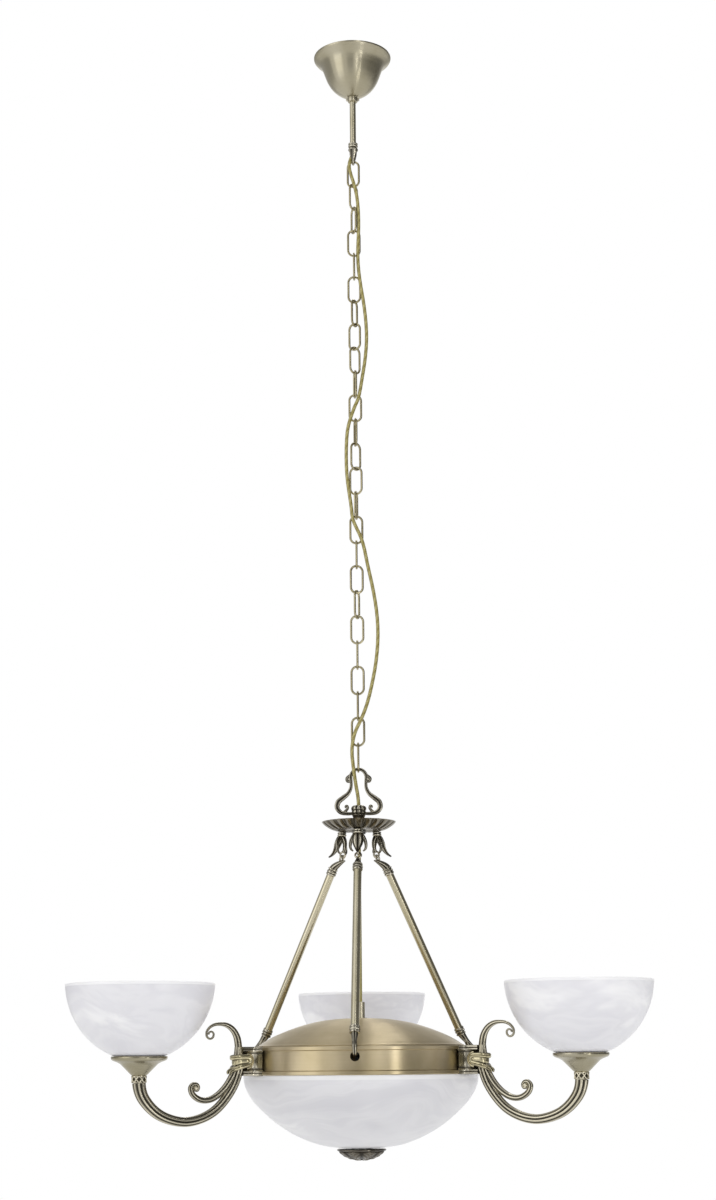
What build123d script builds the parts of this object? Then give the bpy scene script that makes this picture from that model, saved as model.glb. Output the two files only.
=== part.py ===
from build123d import *
import math
import os

os.makedirs("parts", exist_ok=True)

# Driving dimensions, in millimetres; z is 0 at the ceiling and the lamp hangs down from it
arm_reach = 289.0
arm_turns = (210.0, 330.0, 90.0)
rod_turns = (267.6, 27.6, 147.6)
sheet = 1.0
screw_gap = 0.05
wire_radius = 1.1
cord_radius = 2.25

# Ceiling set
strap_half = 44.0
strap_leg = 23.0
strap_side = 8.0
strap_drop = 22.0
strap_thick = 2.0
slot_place = 33.0
slot_long = 10.0
slot_wide = 4.5
stem_radius = 4.05
stem_bore = 2.9
stem_top = -12.0
stem_foot = -126.0
canopy_radius = 51.4
canopy_foot = -57.0
collar_foot = -64.0
collar_radius = 6.8
eye_half = 4.6
eye_wire = 1.5
eye_arc_z = -148.8

# Chain
link_wire = 1.4
link_half_wide = 7.6
link_long = 38.15
link_gap = 0.1
chain_top = -149.0
link_pitch = link_long - 4 * link_wire - link_gap
link_turns = (
    -15, 52, 112, 5, 90, 0, 65, -25, 38, 100, 10, 100, 42,
    -17, 80, 0, 90, 10, 70, 0, 90, 0, 90, 0, 90,
)
chain_foot = chain_top - link_pitch * (len(link_turns) - 1) - link_long

# Crown
loop_wire_top = 1.7
loop_top = chain_foot + 2 * link_wire + link_gap + 2 * loop_wire_top
hub_top = -1014.0
hub_foot = -1018.0
bud_top = -1006.5
dish_radius = 45.7
dish_rim = -1027.0
dish_foot = -1038.0
dish_wall = 1.6
nipple_radius = 5.0
nipple_bore = 3.6
nipple_top = -1009.0
nipple_foot = -1043.0
hanger_place = 25.0

# Rods, as radius and height in the plane of each rod
upper_hook = (24.0, -1068.3)
lower_hook = (140.0, -1306.4)
rod_head = (39.7, -1085.0)
rod_heel = (138.4, -1280.0)
rod_radius = 4.9
rod_wall = 1.0
ring_radius = 3.6
ring_wire = 1.25
hook_wire = 2.5

# Lamp body
band_radius = 139.6
bead_radius = 141.2
band_wall = 1.5
band_top = -1297.0
band_foot = -1330.0
bead_height = 5.5
ledge_radius = 112.0
hook_hole = 5.5
hook_hole_z = -1309.0
dome_radius = 121.5
dome_top = -1265.0
tube_top = -1244.7
tube_radius = 5.3
tube_bore = 3.0
spider_z = -1326.0
spider_thick = 2.0
spider_width = 16.0
thread_radius = 5.0
thread_top = -1318.0
thread_foot = -1424.0
bowl_rim = -1330.2
bowl_foot = -1415.2
bowl_wall = 4.5
finial_radius = 29.4
finial_top = -1416.2
finial_foot = -1429.2

# Arms, as radius and height in the plane of each arm
shank_place = 164.0
shank_wide = 7.6
shank_deep = 6.5
shank_top = -1300.0
shank_foot = -1327.0
bracket_end = shank_place - shank_wide
web_half = 5.0
screw_heights = (-1303.6, -1323.4)
wire_height = -1313.5
wire_bore = 2.8
arm_end_z = -1336.5

# Cups, lampholders and shades, as heights on the cup's own axis
cup_radius = 32.0
cup_rim = -1306.8
cup_foot = -1327.8
collar_low = -1337.6
seat_z = -1308.0
glass_wall = 4.0
shade_radius = 85.6
shade_rim = -1226.0
neck_hole = 14.2
holder_top = -1288.0
holder_radius = 13.5
bulb_radius = 22.5
bulb_top = -1230.0
cap_radius = 6.9


def save(name, *solids):
    """Writes one node, whose pieces stay separate solids."""
    pieces = [s for piece in solids for s in piece.solids()]
    shape = pieces[0] if len(pieces) == 1 else Compound(children=pieces)
    export_step(shape, f"parts/{name}.step")


def block(x0, x1, y0, y1, z0, z1):
    """Box between two corners."""
    middle = Pos((x0 + x1) / 2, (y0 + y1) / 2, (z0 + z1) / 2)
    return middle * Box(abs(x1 - x0), abs(y1 - y0), abs(z1 - z0))


def rod(radius, z0, z1, x=0.0, y=0.0):
    """Upright round bar."""
    return Pos(x, y, (z0 + z1) / 2) * Cylinder(radius, abs(z1 - z0))


def bar_between(start, end, radius):
    """Round bar between two points."""
    a = Vector(*start)
    b = Vector(*end)
    plane = Plane(origin=(a + b) / 2, z_dir=b - a)
    return plane * Cylinder(radius, (b - a).length)


def turned(outline):
    """Solid of revolution about Z from a closed outline of (radius, height) corners."""
    corners = [(r, 0, z) for r, z in outline]
    return revolve(make_face(Polyline(*corners, close=True)), Axis.Z, 360)


def inner_line(outer, wall):
    """Points of a line of revolution moved inward by the wall, towards the axis and upward."""
    moved = []
    for i, (r, z) in enumerate(outer):
        before = outer[max(i - 1, 0)]
        after = outer[min(i + 1, len(outer) - 1)]
        run = after[0] - before[0]
        rise = after[1] - before[1]
        size = math.hypot(run, rise)
        moved.append((r + rise / size * wall, z - run / size * wall))
    return moved


def spun(outer, wall):
    """Shell of revolution between a smooth outer line of (radius, height) and the same line moved in."""
    inner = inner_line(outer, wall)
    outside = Spline(*[(r, 0, z) for r, z in outer])
    inside = Spline(*[(r, 0, z) for r, z in inner])
    rim = Line((outer[0][0], 0, outer[0][1]), (inner[0][0], 0, inner[0][1]))
    foot = Line((outer[-1][0], 0, outer[-1][1]), (inner[-1][0], 0, inner[-1][1]))
    return revolve(make_face(outside + inside + rim + foot), Axis.Z, 360)


def drawn(points, widths, count=0, depth=1.0):
    """Bar along a smooth line in the XZ plane; widths are half widths spread evenly along it."""
    path = Spline(*[(x, 0, z) for x, z in points])
    count = count or 2 * len(points)
    sections = []
    for i in range(count + 1):
        t = i / count
        place = t * (len(widths) - 1)
        low = min(int(place), len(widths) - 2)
        half = widths[low] + (widths[low + 1] - widths[low]) * (place - low)
        plane = Plane(origin=path @ t, x_dir=(0, 1, 0), z_dir=path % t)
        sections.append(plane * Ellipse(half * depth, half))
    return loft(sections)


def ring(centre, radius, wire, z_dir, x_dir):
    """Closed round wire about a centre."""
    plane = Plane(origin=centre, z_dir=z_dir, x_dir=x_dir)
    return plane * Torus(radius, wire)


def hexagon_nut(across, bore, z0, z1):
    """Plain nut about the Z axis."""
    outline = RegularPolygon(across / 2, 6, major_radius=False)
    nut = Pos(0, 0, min(z0, z1)) * extrude(outline, abs(z1 - z0))
    return nut - rod(bore, z0 - 1, z1 + 1)


def around(piece, turn):
    """Piece modelled in the XZ plane, turned to its place about the axis."""
    return Rot(0, 0, turn) * piece


def tube_along(points, radius):
    """Round flexible lead: straight runs joined by arcs as large as the runs allow."""
    radii = []
    for before, here, after in zip(points, points[1:], points[2:]):
        first = Vector(*here) - Vector(*before)
        second = Vector(*after) - Vector(*here)
        half_turn = math.radians(first.get_angle(second)) / 2
        radii.append(0.45 * min(first.length, second.length) / math.tan(half_turn))
    path = FilletPolyline(*points, radius=radii)
    section = Plane(origin=path @ 0, z_dir=path % 0) * Circle(radius)
    tube = sweep(section, path)
    share = tube.volume / (math.pi * radius**2 * path.length)
    print(
        f"lead {path.length:.1f} long, radii {min(radii):.1f} to {max(radii):.1f}, volume share {share:.4f}"
    )
    return tube


# Ceiling strap, bent down in the middle, with a slot in each foot
strap = block(-strap_half, -strap_leg + strap_thick, -strap_side, strap_side, -strap_thick, 0)
strap += block(strap_leg - strap_thick, strap_half, -strap_side, strap_side, -strap_thick, 0)
strap += block(-strap_leg, -strap_leg + strap_thick, -strap_side, strap_side, -strap_drop, 0)
strap += block(strap_leg - strap_thick, strap_leg, -strap_side, strap_side, -strap_drop, 0)
strap += block(-strap_leg, strap_leg, -strap_side, strap_side, -strap_drop, -strap_drop + strap_thick)
for side in (-1, 1):
    slot = extrude(SlotOverall(slot_long, slot_wide), 2 * strap_thick)
    strap -= Pos(side * slot_place, 0, -1.5 * strap_thick) * slot
strap -= rod(stem_radius + 0.15, -strap_drop - 1, -strap_drop + strap_thick + 1)
earth_x = 14.0
strap -= rod(2.0 + screw_gap, -strap_drop - 1, -strap_drop + strap_thick + 1, earth_x)
save("ceiling_bracket", strap)

# Earth screw and its washer
strap_face = -strap_drop + strap_thick
washer = rod(4.5, strap_face, strap_face + 1, earth_x) - rod(2.2, strap_face - 1, strap_face + 2, earth_x)
screw = rod(2.0, strap_face - 7, strap_face + 2, earth_x) + rod(
    3.8, strap_face + 1, strap_face + 3.6, earth_x,
)
screw -= block(earth_x - 4, earth_x + 4, -0.5, 0.5, strap_face + 2.6, strap_face + 3.6)
save("earth_screw", washer, screw)

# Terminal block on top of the strap, with three wire holes
block_top = strap_face + 12
terminal = block(-20, -8.5, -7.9, 7.9, strap_face, block_top)
for y in (-5, 0, 5):
    terminal -= rod(1.3, block_top - 6, block_top + 1, -14.2, y)
    terminal -= Pos(-20, y, strap_face + 6) * Rot(0, 90, 0) * Cylinder(1.7, 6)
save("terminal_block", terminal)

# Hollow stem with the two nuts that clamp it to the strap
stem = rod(stem_radius, stem_foot, stem_top) - rod(stem_bore, stem_foot - 1, stem_top + 1)
save("stem", stem)
upper_nut = hexagon_nut(13, stem_radius + screw_gap, strap_face, strap_face + 4)
lower_nut = hexagon_nut(13, stem_radius + screw_gap, -strap_drop - 4, -strap_drop)
save("stem_nuts", upper_nut, lower_nut)

# Cord inside the stem, and the three wires from its top to the terminal block
stem_cord = rod(cord_radius, -132.0, stem_top + 1)
leads = []
for y in (-5, 0, 5):
    lead_x = -1.0 if y == 0 else 0.4
    lead_y = 0.2 * y
    route = [
        (lead_x, lead_y, stem_top + 1),
        (lead_x - 0.8, lead_y + 0.1 * y, stem_top + 5),
        (-7.0, 0.7 * y, stem_top + 8.5),
        (-13.4, y, stem_top + 6),
        (-14.2, y, block_top - 4),
    ]
    leads.append(tube_along(route, 0.7))
save("stem_cord", stem_cord, *leads)

# Cast end of the stem: two rings, a skirt and the eye for the first link
casting = turned([
    (stem_radius + screw_gap, -124), (6.0, -124), (6.4, -125), (6.0, -126.2), (5.4, -126.6),
    (6.4, -127.6), (6.4, -128.8), (5.4, -129.6), (6.1, -131), (6.2, -133.4), (5.2, -136.0),
    (stem_bore, -136.0), (stem_bore, stem_foot), (stem_radius + screw_gap, stem_foot),
])
legs = bar_between((0, eye_half, -134.6), (0, eye_half, eye_arc_z), eye_wire)
legs += bar_between((0, -eye_half, -134.6), (0, -eye_half, eye_arc_z), eye_wire)
bend = ring((0, 0, eye_arc_z), eye_half, eye_wire, (1, 0, 0), (0, 1, 0))
bend -= block(-10, 10, -10, 10, eye_arc_z, eye_arc_z + 20)
save("stem_end", casting + legs + bend)

# Canopy: spun bell with a flat lip
bell = [
    (canopy_radius, 0), (canopy_radius - 0.4, -2.2), (46.3, -6.6), (40.9, -13.0), (37.0, -24.0), (32.6, -35.0),
    (27.0, -43.6), (19.0, -50.8), (10.0, -56.0), (6.2, canopy_foot),
]
canopy = spun(bell, sheet)
canopy -= rod(stem_radius + 0.6, canopy_foot - 2, canopy_foot + 6)
save("canopy", canopy)

# Collar under the canopy, with its two screws
collar = turned([
    (stem_radius + 0.07, canopy_foot), (collar_radius - 1.2, canopy_foot), (collar_radius, canopy_foot - 1.2),
    (collar_radius, collar_foot + 1), (collar_radius - 1, collar_foot), (stem_radius + 0.07, collar_foot),
])
collar_screw_z = -60.6
collar_screws = []
for side in (-1, 1):
    start = side * (stem_radius + 0.2)
    collar -= bar_between((side * 3, 0, collar_screw_z), (side * 9, 0, collar_screw_z), 1.2 + screw_gap)
    shaft = bar_between((start, 0, collar_screw_z), (side * 8.6, 0, collar_screw_z), 1.2)
    head = bar_between((side * 7.0, 0, collar_screw_z), (side * 8.8, 0, collar_screw_z), 1.9)
    collar_screws.append(shaft + head)
save("canopy_collar", collar)
save("collar_screws", *collar_screws)


def link(number):
    """One oval link in its place on the chain, counted from 0 at the top."""
    half = link_long / 2 - link_wire - link_half_wide
    wide = link_half_wide
    right = Line((wide, 0, half), (wide, 0, -half))
    bottom = ThreePointArc((wide, 0, -half), (0, 0, -half - wide), (-wide, 0, -half))
    left = Line((-wide, 0, -half), (-wide, 0, half))
    top = ThreePointArc((-wide, 0, half), (0, 0, half + wide), (wide, 0, half))
    section = Plane(origin=(wide, 0, half), z_dir=(0, 0, -1)) * Circle(link_wire)
    body = sweep(section, right + bottom + left + top)
    middle = chain_top - link_long / 2 - number * link_pitch
    return Pos(0, 0, middle) * Rot(0, 0, link_turns[number]) * body


save("chain_link_top", link(0))
save("chain_links", *[link(n) for n in range(1, len(link_turns))])

# Cord beside the chain, in two stretches that meet half way; each point is across, in depth and in height
cord_upper_route = [
    (0, 0, -132), (0, 0, -138.4), (-3.7, -2.1, -147), (-5.8, -5.2, -157.4), (-3.6, -6.8, -170),
    (0.8, -6.8, -184), (5.0, -5.6, -203), (6.6, -4.4, -227), (6.4, -4.2, -251), (5.0, -4.2, -275),
    (5.2, -4.6, -298), (8.0, -4.4, -324), (12.4, -2.0, -350), (15.2, 0.0, -378), (15.6, 0.6, -402),
    (13.2, 0, -428), (9.6, -2.6, -450), (6.9, -5.2, -468), (3.9, -6.0, -482.4), (-0.8, -6.0, -492),
    (-5.0, -5.6, -504),
]
cord_lower_route = [
    (-5.0, -5.6, -504), (-9.9, -5.13, -518), (-12.0, -3.4, -542), (-12.2, 0.0, -570), (-10.8, -0.6, -591),
    (-8.4, -3.4, -609), (-6.2, -5.6, -625), (-5.0, -6.0, -641), (-0.4, -6.2, -652.6), (5.2, -5.6, -664),
    (9.6, -3.8, -678), (14.0, -2.0, -702), (20.6, 0.4, -732), (25.4, 1.6, -764), (26.4, 1.0, -794),
    (23.6, -0.4, -826), (17.8, -2.2, -856), (11.8, -4.2, -880), (4.6, -6.2, -899), (-4.8, -5.8, -917),
    (-8.4, -4.6, -938), (-6.2, -4.6, -960), (-3.4, -3.8, -981), (0, 0, -999), (0, 0, -1012),
]
save("cord_upper", tube_along(cord_upper_route, cord_radius))
save("cord_lower", tube_along(cord_lower_route, cord_radius))
cable_foot = -1275.0
save("lower_cable", rod(cord_radius, cable_foot, -1012))

# Crown loop: a lyre of two drawn sides with curled knobs, feet and a hub
side_line = [
    (0, loop_top - loop_wire_top), (5.6, loop_top - 3.6), (9.4, loop_top - 9.4), (9.4, loop_top - 17.0),
    (9.2, -984), (12.6, -991.4), (19.6, -997.2), (25.6, -1002.6), (26.6, -1009.6), (22.4, -1014.8),
    (15.4, -1016.2), (7.6, -1016.0),
]
side_widths = [1.7, 1.9, 2.4, 2.1, 2.1, 2.5, 2.9, 3.0, 2.9, 2.4, 2.2, 2.0]
whole_line = [(-x, z) for x, z in reversed(side_line[1:])] + side_line
whole_widths = side_widths[:0:-1] + side_widths
loop = drawn(whole_line, whole_widths, 52)
foot_line = [(17.0, -1016.0), (13.2, -1014.2), (12.4, -1011.6), (14.4, -1010.2)]
for side in (-1, 1):
    loop += Pos(side * 11.2, 0, loop_top - 14.6) * Sphere(3.0)
    loop += drawn([(side * x, z) for x, z in foot_line], [2.0, 1.7, 1.4, 1.1], 8)
loop += rod(9.0, hub_foot, hub_top)
loop -= rod(nipple_radius + screw_gap, hub_foot - 1, hub_top + 1)
save("crown_loop", loop)

# Ribbed bud that clamps the loop on the nipple
bud = turned([
    (2.8, bud_top), (4.6, bud_top), (7.6, bud_top - 1.4), (8.8, bud_top - 3.8), (8.6, hub_top + 1.2), (7.4, hub_top),
    (nipple_radius + screw_gap, hub_top), (nipple_radius + screw_gap, nipple_top), (2.8, nipple_top),
])
for n in range(10):
    groove = bar_between((9.4, 0, bud_top + 1), (9.4, 0, hub_top - 1), 1.1)
    bud -= Rot(0, 0, 36 * n) * groove
save("crown_bud", bud)

# Dish with a neck up to the loop's hub
dish_line = [
    (dish_radius, dish_rim), (42.0, dish_rim - 3.4), (36.5, dish_rim - 7.2), (33.0, dish_rim - 9.4),
    (30.0, dish_rim - 10.5),
]
dish = spun(dish_line, dish_wall)
dish += rod(30.6, dish_foot, dish_foot + dish_wall) - rod(8.0, dish_foot - 1, dish_foot + dish_wall + 1)
dish += turned([
    (nipple_radius + screw_gap, hub_foot), (8.0, hub_foot), (6.6, hub_foot - 3), (6.6, dish_foot + 6),
    (11.0, dish_foot + 1.6), (11.0, dish_foot), (nipple_radius + screw_gap, dish_foot),
])
for turn in rod_turns:
    dish -= around(rod(2.0 + screw_gap, dish_foot - 2, dish_foot + 8, hanger_place), turn)
save("dish", dish)

# Hollow threaded nipple through bud, loop and dish, with its nut
nipple = rod(nipple_radius, nipple_foot, nipple_top) - rod(nipple_bore, nipple_foot - 1, nipple_top + 1)
nipple_nut = hexagon_nut(14, nipple_radius + screw_gap, dish_foot - 4, dish_foot)
save("crown_nipple", nipple, nipple_nut)

# Leaf-shaped hangers under the dish, each with a ring for its rod
collar_start = dish_foot - 0.1
hanger = turned([
    (0, collar_start), (4.6, collar_start), (5.2, -1039.4), (4.4, -1040.6), (5.3, -1041.8), (5.3, -1042.8),
    (4.4, -1043.8), (4.8, -1045.6), (0, -1047),
])
hanger = Pos(hanger_place, 0, 0) * hanger
leaf_line = [(25.0, -1043.0), (28.6, -1048.6), (32.0, -1055.0), (36.6, -1061.4), (44.6, -1067.4)]
hanger += drawn(leaf_line, [4.4, 6.2, 5.2, 3.2, 1.0], 10, 1.1)
hook_line = [(23.4, -1044.0), (21.4, -1051.0), (21.4, -1057.6), (23.2, -1063.0)]
hanger += drawn(hook_line, [3.6, 2.8, 2.0, 1.3], 8)
ring_place = upper_hook[1] - ring_wire - 0.1 + ring_radius
hanger += ring((upper_hook[0], 0, ring_place), ring_radius, ring_wire, (0, 1, 0), (1, 0, 0))
hanger -= rod(1.95, -1045, collar_start + 1, hanger_place)
hanger_screw = rod(1.9, -1044.5, dish_foot + 3.0, hanger_place)
hanger_screw += rod(3.4, dish_foot + dish_wall + 0.05, dish_foot + 4.2, hanger_place)
for number, turn in enumerate(rod_turns, 1):
    save(f"hanger_{number}", around(hanger, turn))
save("hanger_screws", *[around(hanger_screw, turn) for turn in rod_turns])

# Rods: a straight tube with a cast eye above and a cast hook below
rod_rise = rod_head[1] - rod_heel[1]
rod_run = rod_heel[0] - rod_head[0]
rod_length = math.hypot(rod_run, rod_rise)
down = (rod_run / rod_length, -rod_rise / rod_length)


def on_rod(distance, out=0.0):
    """Point at a distance down the rod's line from its head, and outward from that line."""
    return (
        rod_head[0] + down[0] * distance - down[1] * out, rod_head[1] + down[1] * distance + down[0] * out,
    )


def rod_ring(distance, height, radius):
    """Round collar on the rod's line."""
    a = on_rod(distance)
    b = on_rod(distance + height)
    return bar_between((a[0], 0, a[1]), (b[0], 0, b[1]), radius)


tube_in = 1.5
rod_tube = rod_ring(tube_in, rod_length - 2 * tube_in, rod_radius)
rod_tube -= rod_ring(0, rod_length, rod_radius - rod_wall)
socket = rod_radius + screw_gap
head = rod_ring(-3.6, 2.2, 6.2) + rod_ring(-1.4, 1.4, 5.4) + rod_ring(0, 2.2, 6.4) + rod_ring(2.2, 1.2, 5.6)
head += rod_ring(3.4, 2.2, 6.2)
head -= rod_ring(tube_in, 6, socket)
leaf = [on_rod(-2.5), (34.6, -1080.2), (28.6, -1076.2), (21.0, -1073.6)]
head += drawn(leaf, [5.4, 4.8, 3.0, 0.9], 8)
eye_gap = ring_wire + 0.1
eye_top = (upper_hook[0] - 0.2, upper_hook[1] + eye_gap)
eye_centre = (eye_top[0] + down[0] * ring_radius, 0, eye_top[1] + down[1] * ring_radius)
head += ring(eye_centre, ring_radius, ring_wire, (-down[1], 0, down[0]), (0, 1, 0))

heel = rod_ring(rod_length - 5.6, 2.2, 6.2) + rod_ring(rod_length - 3.4, 1.2, 5.6) + rod_ring(rod_length - 2.2, 2.4, 6.6)
heel += rod_ring(rod_length + 0.2, 1.4, 5.4) + rod_ring(rod_length + 1.6, 2.2, 6.2)
heel -= rod_ring(rod_length - 7, 5.5, socket)
heel += drawn(
    [on_rod(rod_length + 2), (143.6, -1287.0), (149.6, -1292.6), (156.4, -1296.4)], [5.2, 4.4, 2.8, 0.9], 8,
)
hook_line = [
    (144.0, -1287.4), (148.4, -1294.0), (150.0, -1300.4), (146.8, lower_hook[1] + 0.4), (140.0, lower_hook[1]),
    (131.0, lower_hook[1]),
]
heel += drawn(hook_line, [hook_wire + 0.8, hook_wire + 0.3, hook_wire, hook_wire, hook_wire], 14)
for number, turn in enumerate(rod_turns, 1):
    save(f"rod_tube_{number}", around(rod_tube, turn))
    save(f"rod_ends_{number}", around(head, turn), around(heel, turn))

# Dome with a flat flange on the band's ledge
dome_line = [
    (dome_radius, band_top + 1.0), (117.0, -1292.6), (106.0, -1286.6), (88.0, -1279.0), (65.0, -1271.6),
    (42.0, -1267.0), (20.0, -1265.3), (8.0, dome_top),
]
dome_inside = [(r, z - sheet) for r, z in dome_line]
dome_outside_edge = Spline(*[(r, 0, z) for r, z in dome_line])
dome_inside_edge = Spline(*[(r, 0, z) for r, z in dome_inside])
dome_foot_edge = Line(dome_outside_edge @ 0, dome_inside_edge @ 0)
dome_top_edge = Line(dome_outside_edge @ 1, dome_inside_edge @ 1)
dome_face = make_face(dome_outside_edge + dome_inside_edge + dome_foot_edge + dome_top_edge)
dome = revolve(dome_face, Axis.Z, 360)
dome += turned([
    (dome_radius - 1.2, band_top + 0.9), (dome_radius + 2.5, band_top + 0.9), (dome_radius + 2.5, band_top),
    (dome_radius - 1.2, band_top),
])
dome += turned(
    [
        (tube_radius + 0.1, dome_top), (9.0, dome_top), (9.0, dome_top - sheet),
        (tube_radius + 0.1, dome_top - sheet),
    ]
)
dome -= rod(12.0, dome_top, dome_top + 2)
save("dome", dome)

# Tube through which the cable enters the dome, with its nut
entry = turned([
    (tube_bore, tube_top), (tube_radius, tube_top), (tube_radius, dome_top + 1.5), (8.0, dome_top + 1.5),
    (8.0, dome_top), (tube_radius, dome_top), (tube_radius, dome_top - 8), (tube_bore, dome_top - 8),
])
entry_nut = hexagon_nut(15, tube_radius + screw_gap, dome_top - sheet - 4, dome_top - sheet)
save("entry_tube", entry, entry_nut)

# Band: a wall with a bead at each edge and a ledge on top
band = turned([
    (ledge_radius, band_top), (bead_radius - 1, band_top), (bead_radius, band_top - 1),
    (bead_radius, band_top - bead_height + 1), (band_radius, band_top - bead_height),
    (band_radius, band_foot + bead_height), (bead_radius, band_foot + bead_height - 1),
    (bead_radius, band_foot + 1), (bead_radius - 1, band_foot), (band_radius - band_wall, band_foot),
    (band_radius - band_wall, band_top - 1.2), (ledge_radius, band_top - 1.2),
])
for turn in rod_turns:
    hole = bar_between((band_radius - 6, 0, hook_hole_z), (band_radius + 6, 0, hook_hole_z), hook_hole)
    band -= around(hole, turn)
for turn in arm_turns:
    for z in screw_heights:
        band -= around(bar_between((band_radius - 8, 0, z), (band_radius + 8, 0, z), 2.0 + screw_gap), turn)
    wire_hole = bar_between((band_radius - 8, 0, wire_height), (band_radius + 8, 0, wire_height), wire_bore)
    band -= around(wire_hole, turn)
save("band", band)

# Spider inside the band: three legs with upturned tabs, a centre disc and two tabs for the bowl's lamps
tab_outer = band_radius - band_wall - 0.1
screw_start = tab_outer - spider_thick
spider = rod(26.0, spider_z - spider_thick, spider_z)
tab_cut = rod(tab_outer, band_foot, band_top) - rod(tab_outer - spider_thick, band_foot - 1, band_top + 1)
for turn in arm_turns:
    leg = block(20, tab_outer - 1.2, -spider_width / 2, spider_width / 2, spider_z - spider_thick, spider_z)
    tab = block(
        tab_outer - 10, tab_outer, -spider_width / 2, spider_width / 2, spider_z - spider_thick, -1299,
    )
    tab = tab & tab_cut
    for z in screw_heights:
        tab -= bar_between((120, 0, z), (145, 0, z), 2.0 + screw_gap)
    tab -= bar_between((120, 0, wire_height), (145, 0, wire_height), wire_bore)
    leg -= bar_between((131, 0, screw_heights[1]), (screw_start - 0.1, 0, screw_heights[1]), 4.1)
    spider += around(leg + tab, turn)
lamp_tab = 18.0
bowl_lamp_z = -1345.0
for side in (-1, 1):
    spider += block(side * (lamp_tab - 2), side * lamp_tab, -10, 10, bowl_lamp_z - 11, spider_z - 0.5)
    spider -= bar_between((side * 10, 0, bowl_lamp_z), (side * 22, 0, bowl_lamp_z), 5.1)
spider -= rod(thread_radius + 0.2, spider_z - 5, spider_z + 5)
save("bridge", spider)

# Threaded rod that carries the bowl, with its two nuts
save("centre_rod", rod(thread_radius, thread_foot, thread_top))
rod_nut_low = hexagon_nut(17, thread_radius + screw_gap, spider_z - spider_thick - 5, spider_z - spider_thick)
rod_nut_high = hexagon_nut(17, thread_radius + screw_gap, spider_z, spider_z + 5)
save("rod_nuts", rod_nut_low, rod_nut_high)

# Bowl, its washer and the finial that holds it up
bowl_line = [
    (141.2, bowl_rim), (139.4, -1342.0), (132.6, -1355.4), (115.0, -1374.6), (94.2, -1391.0), (72.0, -1403.2),
    (48.0, -1411.6), (24.0, -1414.9), (9.0, bowl_foot),
]
bowl = spun(bowl_line, bowl_wall)
bowl -= rod(9.5, bowl_foot - 3, bowl_foot + 8)
bowl -= rod(bead_radius + 5, bowl_rim, bowl_rim + 5)
bowl -= rod(20.0, bowl_foot - 2, bowl_foot)
bowl += turned(
    [(6.0, bowl_foot), (10.0, bowl_foot), (10.0, bowl_foot + bowl_wall), (6.0, bowl_foot + bowl_wall)]
)
save("bowl", bowl)
washer_low = finial_top + 0.02
save("bowl_washer", rod(12.0, washer_low, bowl_foot) - rod(5.8, washer_low - 1, bowl_foot + 1))
finial = turned([
    (thread_radius + screw_gap, finial_top), (finial_radius - 0.8, finial_top),
    (finial_radius, finial_top - 0.8),
    (finial_radius, finial_top - 1.6), (27.8, finial_top - 2.4), (27.8, finial_top - 3.0), (26.4, -1420.6),
    (22.6, -1423.6), (17.0, -1426.4), (10.0, -1428.4), (4.0, finial_foot), (0, finial_foot), (0, -1426),
    (thread_radius + screw_gap, -1426),
])
save("finial", finial)

# Brackets between band and arm: a web with a moulded rail above and below and a cove against the band
web = block(138, bracket_end, -web_half, web_half, band_foot, band_top)
rails = block(138, bracket_end, -web_half - 1.5, web_half + 1.5, band_top - 6, band_top)
rails += block(138, bracket_end, -web_half - 1.5, web_half + 1.5, band_foot, band_foot + 5)
cove_corners = [(138, 15), (141.8, 15), (143.5, 9), (146, web_half)]
cove_outline = [(x, -y) for x, y in cove_corners] + cove_corners[::-1]
cove = extrude(make_face(Polyline(*cove_outline, close=True)), band_top - band_foot)
bracket = web + rails + Pos(0, 0, band_foot) * cove
bracket -= rod(bead_radius + 0.1, band_foot - 1, band_top + 1)
for z in screw_heights:
    bracket -= bar_between((130, 0, z), (160, 0, z), 2.0 + screw_gap)
bracket -= bar_between((130, 0, wire_height), (160, 0, wire_height), wire_bore)
seat = extrude(Ellipse(shank_wide + 0.05, shank_deep + 0.05), 60)
bracket -= Pos(shank_place, 0, band_foot - 5) * seat

# Arms: one casting each, with a shank, an upper curl, a lower curl and the long sweep that carries the cup
sweep_line = [
    (163.6, -1316.0), (164.4, -1325.0), (168.4, -1337.0), (178.8, -1353.6), (195.0, -1369.2), (214.6, -1378.0),
    (231.6, -1380.4), (248.6, -1377.8), (264.8, -1371.2), (278.0, -1360.4), (285.8, -1349.4),
    (arm_reach, arm_end_z),
]
upper_line = [
    (164.0, -1306.0), (164.2, -1295.0), (166.6, -1284.6), (172.4, -1276.4), (180.0, -1272.0), (187.4, -1271.0),
    (194.4, -1273.0), (199.6, -1277.2), (201.6, -1282.2), (199.6, -1285.8), (196.2, -1285.6), (194.8, -1282.6),
]
shank = Pos(shank_place, 0, shank_foot) * extrude(Ellipse(shank_wide, shank_deep), shank_top - shank_foot)
arm = shank + drawn(upper_line, [4.6, 4.4, 3.8, 3.0, 2.4, 1.9, 1.5, 1.4, 1.3], 30)
lower_line = [
    (167.4, -1320.0), (172.4, -1331.0), (180.4, -1342.4), (190.0, -1351.0), (200.0, -1356.0), (209.4, -1356.8),
    (217.6, -1353.8), (223.4, -1348.0), (224.6, -1342.4), (221.4, -1338.8), (217.0, -1339.2), (215.0, -1342.6),
]
arm += drawn(sweep_line, [5.8, 5.6, 5.6, 5.6, 5.7, 6.0, 6.5, 7.1, 7.7], 26, 0.95)
arm += drawn(lower_line, [4.0, 3.8, 3.2, 2.9, 2.8, 2.7, 2.4, 2.0, 1.8, 1.7], 30)
arm += Pos(218.0, 0, -1343.4) * Sphere(3.2)
arm += rod(7.9, arm_end_z - 1.4, arm_end_z, arm_reach)
arm -= rod(12.0, arm_end_z, arm_end_z + 6, arm_reach)
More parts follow.
